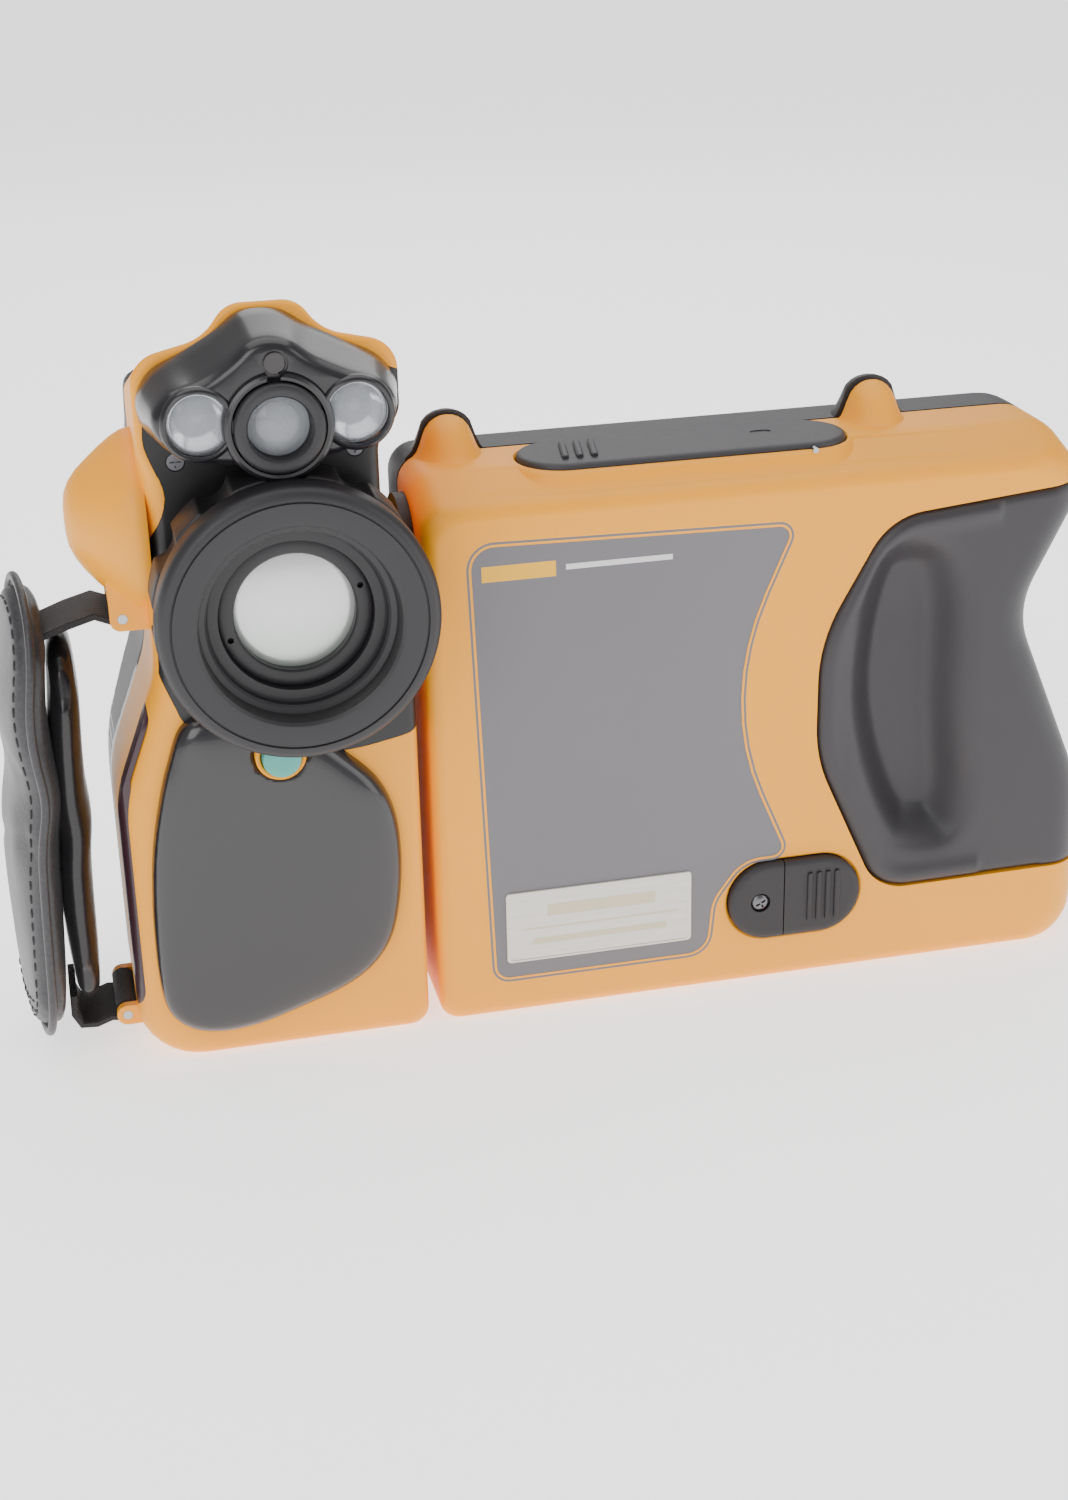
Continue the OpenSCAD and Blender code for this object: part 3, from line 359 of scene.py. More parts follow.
def softened(node, width, segments=2, angle=30, name=None):
    """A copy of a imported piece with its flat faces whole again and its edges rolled."""
    source = nodes[node]
    bpy.ops.object.select_all(action="DESELECT")
    copy = source.copy()
    copy.data = source.data.copy()
    bpy.context.scene.collection.objects.link(copy)
    copy.parent = None
    for key in list(copy.keys()):
        del copy[key]
    copy.name = copy.data.name = name or node + "_soft"
    only(copy)
    copy.data.materials.clear()
    bpy.ops.object.mode_set(mode="EDIT")
    bpy.ops.mesh.select_all(action="SELECT")
    bpy.ops.mesh.remove_doubles(threshold=1e-6)
    bpy.ops.mesh.dissolve_limited(angle_limit=math.radians(1))
    bpy.ops.object.mode_set(mode="OBJECT")
    applied(copy, "BEVEL", width=width * MM, segments=segments, limit_method="ANGLE",
            angle_limit=math.radians(angle), use_clamp_overlap=True, miter_outer="MITER_ARC")
    return shade(copy)


print("helpers ready")

# %% [markdown]
# ## Shader maths
# Finishes are made from nodes. A small class wraps a socket and overloads the usual operators,
# so that a mask such as 1 - edge * 0.4 reads as it would on paper and still adds Math nodes.
# Numbers that are the same all over a surface go straight onto the shader's sockets.

# %% Sockets as numbers
class Wire:
    """A node's output that can be used in sums."""

    def __init__(self, finish, socket):
        self.finish, self.socket = finish, socket

    def sum(self, kind, *others):
        return self.finish.node("ShaderNodeMath", {"operation": kind}, *others)

    def __add__(self, other):
        return self.sum("ADD", self, other)

    __radd__ = __add__

    def __mul__(self, other):
        return self.sum("MULTIPLY", self, other)

    __rmul__ = __mul__

    def __sub__(self, other):
        return self.sum("SUBTRACT", self, other)

    def __rsub__(self, other):
        return self.sum("SUBTRACT", other, self)

    def __truediv__(self, other):
        return self.sum("DIVIDE", self, other)

    def __gt__(self, other):
        return self.sum("GREATER_THAN", self, other)

    def __lt__(self, other):
        return self.sum("LESS_THAN", self, other)

    def clipped(self):
        return self.finish.node("ShaderNodeClamp", {}, self)


class Finish:
    """One procedural material, built from nodes."""

    def __init__(self, name, **constants):
        self.material = bpy.data.materials.new(name)
        self.material.use_nodes = True
        self.tree = self.material.node_tree
        self.shader = self.tree.nodes["Principled BSDF"]
        for key, value in constants.items():
            self.shader.inputs[key.replace("_", " ")].default_value = value

    def node(self, kind, settings, *values, out=0, **named):
        """Add a node, set its settings, then its inputs by order or by name."""
        made = self.tree.nodes.new(kind)
        for key, value in settings.items():
            if key == "stops":
                ramp = made.color_ramp.elements
                while len(ramp) < len(value):
                    ramp.new(0.5)
                for stop, (place, colour) in zip(ramp, value):
                    stop.position, stop.color = place, colour
            else:
                setattr(made, key, value)
        pairs = list(zip(range(len(values)), values))
        pairs += [(key.replace("_", " "), value) for key, value in named.items()]
        for key, value in pairs:
            if isinstance(value, Wire):
                self.tree.links.new(value.socket, made.inputs[key])
            else:
                made.inputs[key].default_value = value
        return Wire(self, made.outputs[out])

    def place(self):
        return self.node("ShaderNodeTexCoord", {}, out=3)

    def axes(self):
        """The three object coordinates in millimetres."""
        made = self.tree.nodes.new("ShaderNodeSeparateXYZ")
        self.tree.links.new(self.place().socket, made.inputs[0])
        return [Wire(self, made.outputs[k]) * 1000 for k in range(3)]

    def noise(self, scale, detail=2.0, rough=0.5, at=None):
        return self.node("ShaderNodeTexNoise", {}, Vector=at or self.place(), Scale=scale,
                         Detail=detail, Roughness=rough)

    def mix(self, amount, a, b):
        """A colour between a and b."""
        made = self.tree.nodes.new("ShaderNodeMix")
        made.data_type = "RGBA"
        for key, value in ((0, amount), (6, a), (7, b)):
            if isinstance(value, Wire):
                self.tree.links.new(value.socket, made.inputs[key])
            else:
                made.inputs[key].default_value = value
        return Wire(self, made.outputs[2])

    def colour(self, wire):
        self.tree.links.new(wire.socket, self.shader.inputs["Base Color"])
        return self

    def rough(self, wire):
        self.tree.links.new(wire.socket, self.shader.inputs["Roughness"])
        return self

    def bump(self, wire, distance, strength=0.5):
        made = self.node("ShaderNodeBump", {}, Strength=strength, Distance=distance, Height=wire)
        self.tree.links.new(made.socket, self.shader.inputs["Normal"])
        return self


def rgb(hexa, gain=1.0):
    """A colour as a painter's hex code, made linear."""
    out = []
    for k in (0, 2, 4):
        c = int(hexa[k:k + 2], 16) / 255
        out.append(min(1, gain * (c / 12.92 if c <= 0.04045 else ((c + 0.055) / 1.055) ** 2.4)))
    return (*out, 1)


print("finishes are built from", Finish.__name__)

# %% [markdown]
# ## Moulded plastics and rubbers
# A moulded shell has a fine spark texture and a colour that varies slightly from place to place.
# The texture is noise at a fifth of a millimetre that feeds a bump, the variation is noise at a
# few centimetres, and the roughness follows both a little. Rubber is darker, softer and has a
# broader highlight, and old rubber is slightly polished where hands rub it.

# %% Plastics and rubbers
def moulded(name, base, shadow, rough, grain=3200, depth=0.00004, coat=0.0, vary=0.06, **constants):
    """A moulded surface: base and shadow are its two tones."""
    f = Finish(name, Coat_Weight=coat, **constants)
    cloud = f.noise(14, 3)
    dust = f.noise(420, 2)
    f.colour(f.mix((cloud * 0.8 + dust * 0.2).clipped(), shadow, base))
    f.rough(cloud * vary + dust * vary + (rough - vary))
    f.bump(f.noise(grain, 2) * 0.7 + dust * 0.3, depth, 0.35)
    return f.material


ORANGE = moulded("orange_plastic", rgb("FFAC00"), rgb("FFA300"), 0.48, coat=0.02)
DARK = moulded("dark_grey_plastic", rgb("37363a"), rgb("302f32"), 0.5)
BLACK = moulded("black_plastic", rgb("1d1c1e"), rgb("18171a"), 0.42)
RUBBER = moulded("grip_rubber", rgb("343135"), rgb("2c2a2d"), 0.47, depth=0.00006, vary=0.08)
SOFT = moulded("soft_rubber", rgb("282629"), rgb("201e21"), 0.55)
GLOSSY_PAD = moulded("polished_rubber", rgb("262427"), rgb("201e21"), 0.26, coat=0.35, vary=0.04,
                     depth=0.00001)
SIDE = moulded("wine_rubber", rgb("3c1f2a"), rgb("2c1a22"), 0.38, coat=0.2)
POD = moulded("pod_gloss", rgb("1b191d"), rgb("161418"), 0.28, coat=0.2, vary=0.03)
KEYS = moulded("key_rubber", rgb("6b6d70"), rgb("606266"), 0.55)
GREEN = moulded("power_key", rgb("2f6f4a"), rgb("28613f"), 0.5)
YELLOW = moulded("enter_key", rgb("c9a227"), rgb("b8921d"), 0.5)
TEAL = moulded("trigger_teal", rgb("46A79B"), rgb("3b9a8d"), 0.3, coat=0.3)
LENS_BLACK = moulded("lens_black", rgb("252326"), rgb("1f1d20"), 0.46, grain=4200, depth=0.00003)
print(len(bpy.data.materials), "materials so far")

# %% [markdown]
# ## Metals, glass, leather and the rest
# Brushed metal is noise stretched along one axis. The front lens is coated germanium, an opaque
# bright mirror that looks like frosted silver; its colour holds a painted reflection, painted
# bright at the top and darker with a green cast low down. Leather is a cell pattern for the grain
# with soft wrinkles under it, and the webbing is two crossed waves.

# %% Metals, glass and soft goods
def brushed(name, tone, rough=0.32, stretch=(40, 900, 900), metallic=1.0):
    f = Finish(name, Metallic=metallic)
    lines = f.noise(1, 3, at=f.node("ShaderNodeVectorMath", {"operation": "MULTIPLY"}, f.place(),
                                    stretch))
    f.colour(f.mix(lines, tuple(c * 0.82 for c in tone[:3]) + (1,), tone))
    f.rough(lines * 0.18 + (rough - 0.09))
    return f.bump(lines, 0.00003, 0.3).material


STEEL = brushed("pin_steel", rgb("b9b9bc"))
SCREW = brushed("dark_screw_steel", rgb("77767a"), 0.36, (600, 600, 600))
BRASS = brushed("turned_brass", rgb("c8a55a"), 0.3)
ALLOY = brushed("turned_alloy", rgb("c8c9cc"), 0.28)
MIRROR = brushed("reflector", rgb("f2f2f4"), 0.1, (700, 700, 700))


def plate_finish():
    """The bright plate: brushed across, with engraved rules in gold in place of words."""
    f = Finish("bright_plate", Metallic=0.85)
    x, y, z = f.axes()
    lines = f.noise(1, 3, at=f.node("ShaderNodeVectorMath", {"operation": "MULTIPLY"}, f.place(),
                                    (60, 900, 1400)))
    tone = f.mix(lines, rgb("c4c1b8"), rgb("dedbd2"))
    rules = None
    for low, high, left, right_end in ((24.8, 25.3, -27, 15), (20.4, 22.2, -24, 12),
                                       (28.2, 31.6, -20, 9)):
        bar = (z > low) * (z < high) * (x > left) * (x < right_end)
        rules = bar if rules is None else rules + bar
    f.colour(f.mix(rules * 0.45, tone, rgb("b9a06a")))
    f.rough(lines * 0.2 + 0.3)
    return f.bump(lines * 0.4 - rules * 0.6, 0.00006, 0.4).material


PLATE = plate_finish()


def panel_finish():
    """The printed film: satin grey, with a plain yellow bar and a white rule in place of names."""
    f = Finish("grey_film")
    x, y, z = f.axes()
    grain = f.noise(900, 2)
    cloud = f.noise(12, 2)
    tone = f.mix(cloud, rgb("6c696d"), rgb("727074"))
    bar = (x > -34.5) * (x < -16.0) * (z > 120.6) * (z < 124.6)
    rule = (x > -13.5) * (x < 13.5) * (z > 122.0) * (z < 123.4)
    tone = f.mix(bar, tone, rgb("F3B51D"))
    tone = f.mix(rule * 0.85, tone, rgb("E9E7E6"))
    f.colour(tone)
    f.rough(grain * 0.1 + 0.42)
    return f.bump(grain, 0.00003, 0.25).material


PANEL = panel_finish()


def glass(name, tone, alpha, rough=0.05):
    f = Finish(name, IOR=1.5, Coat_Weight=0.5, Alpha=alpha)
    f.colour(f.mix(f.noise(60, 2), tuple(c * 0.9 for c in tone[:3]) + (1,), tone))
    f.rough(f.noise(300, 2) * 0.04 + rough)
    return f.material


CLEAR = glass("clear_window", rgb("cfd5dc"), 0.28)
SCREEN = glass("screen_window", rgb("101216"), 0.82, 0.08)
LASER = glass("laser_window", rgb("2a1f26"), 0.9)


def germanium():
    """A silvery coat with a painted reflection: painted brighter at the top left, darker and with a
    faint green cast lower down.
    """
    f = Finish("germanium", Metallic=0.55, Coat_Weight=0.4)
    x, y, z = f.axes()
    # painted reflection: the colour is painted brighter towards the top and darker, faintly green,
    # lower down
    painted_reflection_share = ((z - 110.0) / 30.0).clipped()
    tone = f.mix(painted_reflection_share, rgb("c3cdc5"), rgb("e6e4e6"))
    f.colour(f.mix(f.noise(40, 2) * 0.35, tone, rgb("d5d8d4")))
    f.rough(f.noise(30, 2) * 0.1 + 0.22)
    return f.material


GERMANIUM = germanium()


def leather(name, tone, dark, rough, cell=520, wrinkle=0.0006):
    f = Finish(name, Sheen_Weight=0.05)
    cells = f.node("ShaderNodeTexVoronoi", {"feature": "DISTANCE_TO_EDGE"}, Vector=f.place(),
                   Scale=float(cell))
    soft = f.noise(55, 4, 0.55)
    f.colour(f.mix((cells * 6).clipped() * 0.5 + soft * 0.5, dark, tone))
    f.rough(soft * 0.16 + (rough - 0.08))
    height = (cells * 4).clipped() * 0.12 + soft
    return f.bump(height, wrinkle, 0.32).material


LEATHER = leather("padded_leather", rgb("3a393c"), rgb("29282b"), 0.42)
LINING = leather("strap_lining", rgb("1e1c1f"), rgb("161417"), 0.3, 380, 0.0004)


def webbing():
    f = Finish("nylon_webbing", Sheen_Weight=0.1)
    x, y, z = f.axes()
    along = f.node("ShaderNodeMath", {"operation": "SINE"}, z * 7.0 + x * 7.0)
    across = f.node("ShaderNodeMath", {"operation": "SINE"}, y * 5.0)
    weave = along * across * 0.5 + 0.5
    f.colour(f.mix(weave, rgb("0d0c0e"), rgb("232125")))
    f.rough(weave * 0.2 + 0.6)
    return f.bump(weave, 0.0002, 0.6).material


WEBBING = webbing()
THREAD = moulded("stitch_thread", rgb("2a282b"), rgb("1b191c"), 0.6)
BOARD = moulded("board_green", rgb("1c5a34"), rgb("154827"), 0.45)
LCD = moulded("lcd_black", rgb("1b1e24"), rgb("14161a"), 0.18, coat=0.3)
CARD = moulded("card_blue", rgb("24345f"), rgb("1c2a50"), 0.4)
print(len(bpy.data.materials), "materials in all")

# %% [markdown]
# ## Joining a finish, a body and a imported piece
# Each finished piece gets its material, rides on a imported body, and hides the imported nodes it
# stands for. One short call does all three, so none is forgotten.

# %% Finish and place a piece
body_of = {n: b for b, members in frame["record"]["behaviour"]["bodies"].items() for n in members}


def stand_for(piece, finish, *packed, body=None):
    """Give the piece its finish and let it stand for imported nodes, on their body."""
    piece.data.materials.clear()
    piece.data.materials.append(finish)
    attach(piece, body or body_of[packed[0]])
    if packed:
        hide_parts(*packed)
    return piece


def extra(piece, finish, body):
    """A small added piece that stands for nothing."""
    piece.data.materials.clear()
    piece.data.materials.append(finish)
    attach(piece, body)
    return piece


# %% [markdown]
# ## Screen module shells
# Both halves come from one outline in the X and Z plane whose sides draw in as it nears the front
# or the rear face. The front's top also slopes down, which makes the wide sloping deck. The same
# form drawn in by the wall is cut out of each half. Recesses are then cut with tools whose mouths
# flare by 0.4 mm, so that each recess has a small rolled lip that catches light.

# %% Shape of the screen module
FACE, PART, REAR_PART, BACK = -25.0, 8.0, 9.0, 27.0
LEFT, RIGHT, TOP, WAIST = -48.5, 131.0, 144.5, 21.5
SLOPE, SLOPE_Y = 5.5, -7.0


def roll(y, end, r):
    """How far an edge of radius r has drawn in at y, on a face at end."""
    d = abs(end - y)
    return r - math.sqrt(max(r * r - (r - d) ** 2, 0)) if d < r else 0.0


def deck_drop(y):
    t = (SLOPE_Y - y) / 18
    return SLOPE * (math.sqrt(t * t + 0.006) + t) / 2


def display_corners(y, d=0.0):
    """Corners of the screen module's section at y, drawn in by d more."""
    left, low, top, right_in = (max(roll(y, FACE, f), roll(y, BACK, b)) + d
                                for f, b in ((4, 5), (4, 6), (3.2, 7), (10, 10)))
    top += deck_drop(y) if y < 6 else 0
    x0, x1, z0, z1 = LEFT + left, RIGHT - right_in, low, TOP - top
    return [(x0, z0, 5), (x1, z0, 11), (x1, 45, 40), (x1 - WAIST, 97, 22), (x1 - 7, 126, 9),
            (x1 - 7, z1, min(11, z1 - 128.4)), (x0, z1, 7)]


FRONT_LEVELS = [8, 3, 0, -3, -5, -6.5, -8, -10, -12.5, -15, -17, -19, -20.6, -21.6, -22.4, -23.2,
                -23.9, -24.4, -24.75, -24.93, -25]
REAR_LEVELS = [9, 14, 17, 19, 20.5, 22, 23.3, 24.4, 25.3, 26, 26.5, 26.85, 27]


def display_skin(name, levels, d=0.0):
    """The module's form, drawn in by d; a level past a face keeps that face's outline."""
    return skin(name, along_y([(y, rounded(display_corners(max(FACE + d, min(BACK - d, y)), d)))
                               for y in levels]))


def tool(name, corners, mouth, depth, flare=0.4, way=-1):
    """A cutter for a recess in a flat face: mouth is the face's y, way where it opens."""
    inner = mouth - way * depth
    levels = [(inner, corners), (mouth - way * flare, corners), (mouth, grown(corners, flare)),
              (mouth + way * 8, grown(corners, flare))]
    return skin(name, along_y([(y, rounded(c)) for y, c in levels]))


def rod(name, x, z, r, y0, y1, count=48):
    return skin(name, along_y([(y0, circle(x, z, r, count)), (y1, circle(x, z, r, count))]))


def tube_z(name, x, y, r, z0, z1, count=48):
    return skin(name, along_z([(z0, circle(x, y, r, count)), (z1, circle(x, y, r, count))]))


def rod_x(name, y, z, r, x0, x1, count=48):
    return skin(name, along_x([(x0, circle(y, z, r, count)), (x1, circle(y, z, r, count))]))


HOLD_CORNERS = [(70, 127.4, 17), (52.3, 96, 42), (52.3, 64, 42), (70.5, 23, 13), (136, 23.6, 1),
                (136, 133.4, 1)]
PANEL_CORNERS = [(-37.6, 130, 6), (-34, 11, 4), (23.5, 11, 6), (25, 26, 11), (33, 36.8, 10),
                 (45.5, 36.8, 3), (26, 83, 70), (45.5, 128, 3)]
PANEL_CORNERS.reverse()
PORT = (29, 65.5, 13.5, 35.7)
PORT_SCREW = (37.5, 24.6)
FLAP = (-20.5, 64.5, -16, 7)
FLAP_Z = 142.8
BUMP_X = (-35.5, 76.5)
print("deck falls", round(deck_drop(-25), 2), "mm")

# %% [markdown]
# ## Bumps on the deck
# Each rounded nose on the deck is shared by both shells: an orange half in front and a dark half
# behind. A half is a stack of half rings that flares at the foot and is flat on the parting
# plane, so no cut is needed. The dark half is a little larger, and so it shows as a rim behind.

# %% Bumps
NOSE = [(138, 9.6), (143.2, 9.6), (144.2, 8.6), (145.2, 7.8), (147, 7.0), (149, 6.3), (151, 5.4),
        (152.4, 4.3), (153.3, 3.0), (153.85, 1.6), (154, 0.3)]


def bump(x, front):
    """One half of a nose, reaching forwards or back from its flat side."""
    flat_y, way, longer = (PART - 0.03, -1, 3.2) if front else (REAR_PART + 0.03, 1, 2.6)
    rings = []
    for z, r in NOSE:
        if not front:
            r, z = r * 1.06 + 0.5, z + 0.9 * (z > 150)
        reach = r + longer * min(1, max(0, (153 - z) / 9))
        rings.append([(x + r * math.cos(a), flat_y + way * reach * math.sin(a), z)
                      for a in (math.pi * k / 28 for k in range(29))])
    return skin("nose", rings)


# %% Front shell of the screen module
front = display_skin("display_front", FRONT_LEVELS)
carve(front, display_skin("front_hollow", (9, 3, -3, -6.5, -10, -15, -19, -21.5, -22.5), 2.5))

pedestal = skin("pedestal", along_z([
    (z, stadium(FLAP[0], FLAP[1], FLAP[2], FLAP[3], g)) for z, g in
    ((138.6, 7.5), (139.6, 5.6), (140.8, 4.1), (142, 3.0), (143, 2.3), (143.7, 1.8), (144.1, 1.2),
     (144.25, 0.8))]))
carve(pedestal, block("behind", (-40, PART - 0.05, 130), (90, 30, 150)))
carve(front, pedestal, operation="UNION")

carve(
    front,
    skin("hold_tool", along_y([(-30, rounded(HOLD_CORNERS)), (8.5, rounded(HOLD_CORNERS))])),
    tool("panel_tool", PANEL_CORNERS, FACE, 1.0),
    skin("port_tool", along_y([(y, stadium(*PORT, g)) for y, g in
                               ((FACE + 1.4, 0.3), (FACE + 0.4, 0.3), (FACE, 0.75), (-33, 0.75))])),
    block("port_window", (47, -26, 18.6), (62.5, -18, 30.6)),
    skin("flap_tool", along_z([(z, stadium(*FLAP, g)) for z, g in
                               ((FLAP_Z, 0.3), (143.9, 0.3), (144.4, 0.7), (150, 0.7))])),
    block("card_slot", (-6.5, -9, 130), (23.5, 1, 145)),
    carve(skin("flap_well", along_z([(z, stadium(*FLAP, 0.3)) for z in (130, 145)])),
          block("well_side", (49.3, -18, 129), (66, 9, 146)), operation="INTERSECT"),
    block("flap_barrel_seat", (50.3, -9.8, 141.3), (54.5, 0.8, 146)),
    rod_x("axle_bore", -2, 124.7, 7.1, -52, -40),
    tube_z("bush_bore", 0, 0, 5.05, -3, 12),
    rod("jack_bore", 55, 24.6, 3.4, -24, -8),
)
carve(front, *[bump(x, True) for x in BUMP_X], operation="UNION")
stand_for(shade(front, 32), ORANGE, "display_front_shell")
print("front shell", len(front.data.polygons), "faces")

# %% Rear shell of the screen module
rear = display_skin("display_rear", REAR_LEVELS)
carve(rear, display_skin("rear_hollow", (8, 14, 17, 20.5, 23.3, 24.5), 2.5))
KEY_X = (-18.5, 18.5, 55.5)
THUMB_X, NAV_Z, POWER_Z = 91, 88, 25
SCREWS = [(-40.5, 7.5), (-35.5, 136.5), (17, 7.5), (36, 136), (118, 9), (114, 133.5)]
carve(
    rear,
    tool("screen_tool", box_corners(-40.5, 38, 77.5, 130, 0.4), BACK, 2.0, 0.5, 1),
    tool("screen_window_tool", box_corners(-37.5, 41, 74.5, 127, 1), BACK - 1, 6, 0.01, 1),
    rod("nav_tool", THUMB_X, NAV_Z, 11.3, 20, 30),
    rod("power_tool", THUMB_X, POWER_Z, 5.3, 20, 30),
    *[skin("key_tool", along_y([(y, stadium(x - 8, x + 8, 21, 29, 0.3)) for y in (20, 30)]))
      for x in KEY_X],
    *[rod("screw_tool", x, z, 3.2, 24, 30, 32) for x, z in SCREWS],
)
# A shallow frame round the screen and slots for the speaker
carve(rear, *[skin("slot", along_y([(y, stadium(THUMB_X - w, THUMB_X + w, z - 0.6, z + 0.6, 0, 6))
                                    for y in (24, 30)]))
              for z, w in ((51, 5), (53.5, 7), (56, 7.6), (58.5, 7), (61, 5))])
carve(rear, *[bump(x, False) for x in BUMP_X], operation="UNION")
stand_for(shade(rear, 32), DARK, "display_rear_shell")
print("rear shell", len(rear.data.polygons), "faces")

# %% [markdown]
# ## Hand hold
# The rubber hand hold has a rolled rim along its left side and a deep trough for the fingers. It
# could be lofted, but its edges flow into one another, so it is cut roughly from the module's own
# form, remeshed into fine even faces and melted smooth. Then each point of the front is moved by
# its distance from two outlines: up near the rim, and down inside the trough.

# %% Right grip
def reach_in(points, x, z):
    """How deep a point is inside a closed outline; below zero outside."""
    best, inside = 1e9, False
    for i, q in enumerate(points):
        p = points[i - 1]
        ex, ez, wx, wz = q[0] - p[0], q[1] - p[1], x - p[0], z - p[1]
        t = max(0, min(1, (wx * ex + wz * ez) / max(ex * ex + ez * ez, 1e-9)))
        best = min(best, (wx - ex * t) ** 2 + (wz - ez * t) ** 2)
        if (p[1] > z) != (q[1] > z) and x < p[0] + (z - p[1]) / (q[1] - p[1]) * ex:
            inside = not inside
    return math.sqrt(best) * (1 if inside else -1)


def ease(t):
    t = max(0.0, min(1.0, t))
    return t * t * (3 - 2 * t)


TROUGH = flowing([(66.5, 117), (62.4, 103.7), (60.4, 83), (62.2, 66.6), (66.5, 51.8), (71.6, 40.5),
                  (76.2, 35.2), (84.1, 33.2), (91.3, 34.3), (95.8, 41), (97.3, 51.5), (96, 62.4),
                  (95, 73.6), (94.6, 89.8), (94.2, 100.4), (92.2, 110.9), (88.3, 118.2),
                  (81.3, 121.6), (73.1, 121.4)], 72)
hold_line = rounded(grown(HOLD_CORNERS, -0.1))
grip = display_skin("right_grip_rubber", FRONT_LEVELS)
carve(grip, skin("hold_form", along_y([(y, hold_line) for y in (-40, 20)])), operation="INTERSECT")
carve(grip, block("hollow", (60, -14, 28), (105, 9, 120)))
remould(grip, 0.9, 3)
for v in grip.data.vertices:
    x, y, z = (c / MM for c in v.co)
    if y < -14:
        front_share = ease((-14 - y) / 8)
        edge = reach_in(hold_line, x, z)
        inner = reach_in(TROUGH, x, z)
        rim = 1.1 * math.exp(-((edge - 3.2) / 2.6) ** 2) if x < 100 else 0
        lip = -0.9 * ease((1.6 - edge) / 1.6) if x < 118 else 0
        well = 8.8 * ease(inner / 10.5) + (0.7 * ease((inner + 2.5) / 5))
        floor_tilt = 1 - 0.25 * ease((z - 95) / 30)
        v.co.y += (-(rim + lip) + well * floor_tilt) * front_share * MM
applied(grip, "SMOOTH", factor=0.5, iterations=2)
shade(grip, 80)
stand_for(grip, RUBBER, "right_grip")
print("hand hold", len(grip.data.polygons), "faces")

# %% [markdown]
# ## Label panel
# The panel is a printed film in a shallow seat. Its rim steps in through four rings and its face
# lies a tenth of a millimetre lower, so a thin line of light runs round it as on the real film.
# The bright plate lies on the film.

# %% Label panel
panel = skin("label_film", along_y([
    (FACE + 0.8, rounded(grown(PANEL_CORNERS, -0.05))),
    (FACE + 0.15, rounded(grown(PANEL_CORNERS, -0.05))),
    (FACE - 0.02, rounded(grown(PANEL_CORNERS, -0.25))),
    (FACE - 0.02, rounded(grown(PANEL_CORNERS, -0.8))),
    (FACE + 0.08, rounded(grown(PANEL_CORNERS, -0.95)))]))
stand_for(shade(panel, 20), PANEL, "label_panel")
plate = skin("bright_plate", along_y([
    (y, rounded(box_corners(-30.9 + g, 15.6 + g, 18.9 - g, 35.9 - g, 1.2))) for y, g in
    ((FACE + 0.4, 0), (FACE - 0.2, 0), (FACE - 0.4, 0.2), (FACE - 0.4, 0.7), (FACE - 0.3, 0.85))]))
stand_for(shade(plate, 20), PLATE, "data_plate")

# %% Port cover and its screw
def port_half(name, low_x, high_x):
    """The rubber cover with a rolled rim, cut to one side of its fold line."""
    piece = skin(name, along_y([(y, stadium(*PORT, g)) for y, g in
                                ((FACE + 1.38, -0.05), (FACE - 0.9, -0.05), (FACE - 1.35, -0.35),
                                 (FACE - 1.65, -0.9), (FACE - 1.8, -1.6), (FACE - 1.8, -2.6))]))
    return carve(piece, block("side", (low_x, -30, 5), (high_x, -20, 45)), operation="INTERSECT")


anchor = port_half("port_cover_fixed", 20, 43.85)
carve(anchor, rod("head_seat", *PORT_SCREW, 2.7, -30, FACE - 0.6, 32))
stand_for(shade(anchor), SOFT, "port_cover_anchor")
flapping = port_half("port_cover_free", 44.15, 80)
for k in range(4):
    x = 51.2 + 2.5 * k
    rib = skin("rib", along_y([
        (y, rounded(box_corners(x - w, 17.4, x + w, 31.8, w * 0.9)))
        for y, w in ((FACE - 1.2, 0.75), (FACE - 2.2, 0.7), (FACE - 2.45, 0.35))]))
    carve(flapping, rib, operation="UNION")
for x in (48, 61.5):
    carve(flapping, block("nub", (x - 0.6, FACE + 0.5, 20.6), (x + 0.6, FACE + 3.2, 28.6)),
          operation="UNION")
stand_for(shade(flapping), SOFT, "port_cover")
head = turned("port_screw", *PORT_SCREW,
              [(0, -26.95), (1.2, -26.9), (2.0, -26.6), (2.35, -26.1), (2.3, -25.6), (0, -25.6)],
              48)
for turn in (0.5, 0.5 + math.pi / 2):
    c, s = math.cos(turn), math.sin(turn)
    cross = skin("cross", [
        [(PORT_SCREW[0] + a * c - b * s, y, PORT_SCREW[1] + a * s + b * c)
         for a, b in ((-1.45, -0.28), (1.45, -0.28), (1.45, 0.28), (-1.45, 0.28))]
        for y in (-28, -26.2)])
    carve(head, cross)
carve(head, rod("shank", *PORT_SCREW, 1.2, -25.8, -21.1, 24), operation="UNION")
stand_for(shade(head), SCREW, "port_cover_screw")
print("port cover made")
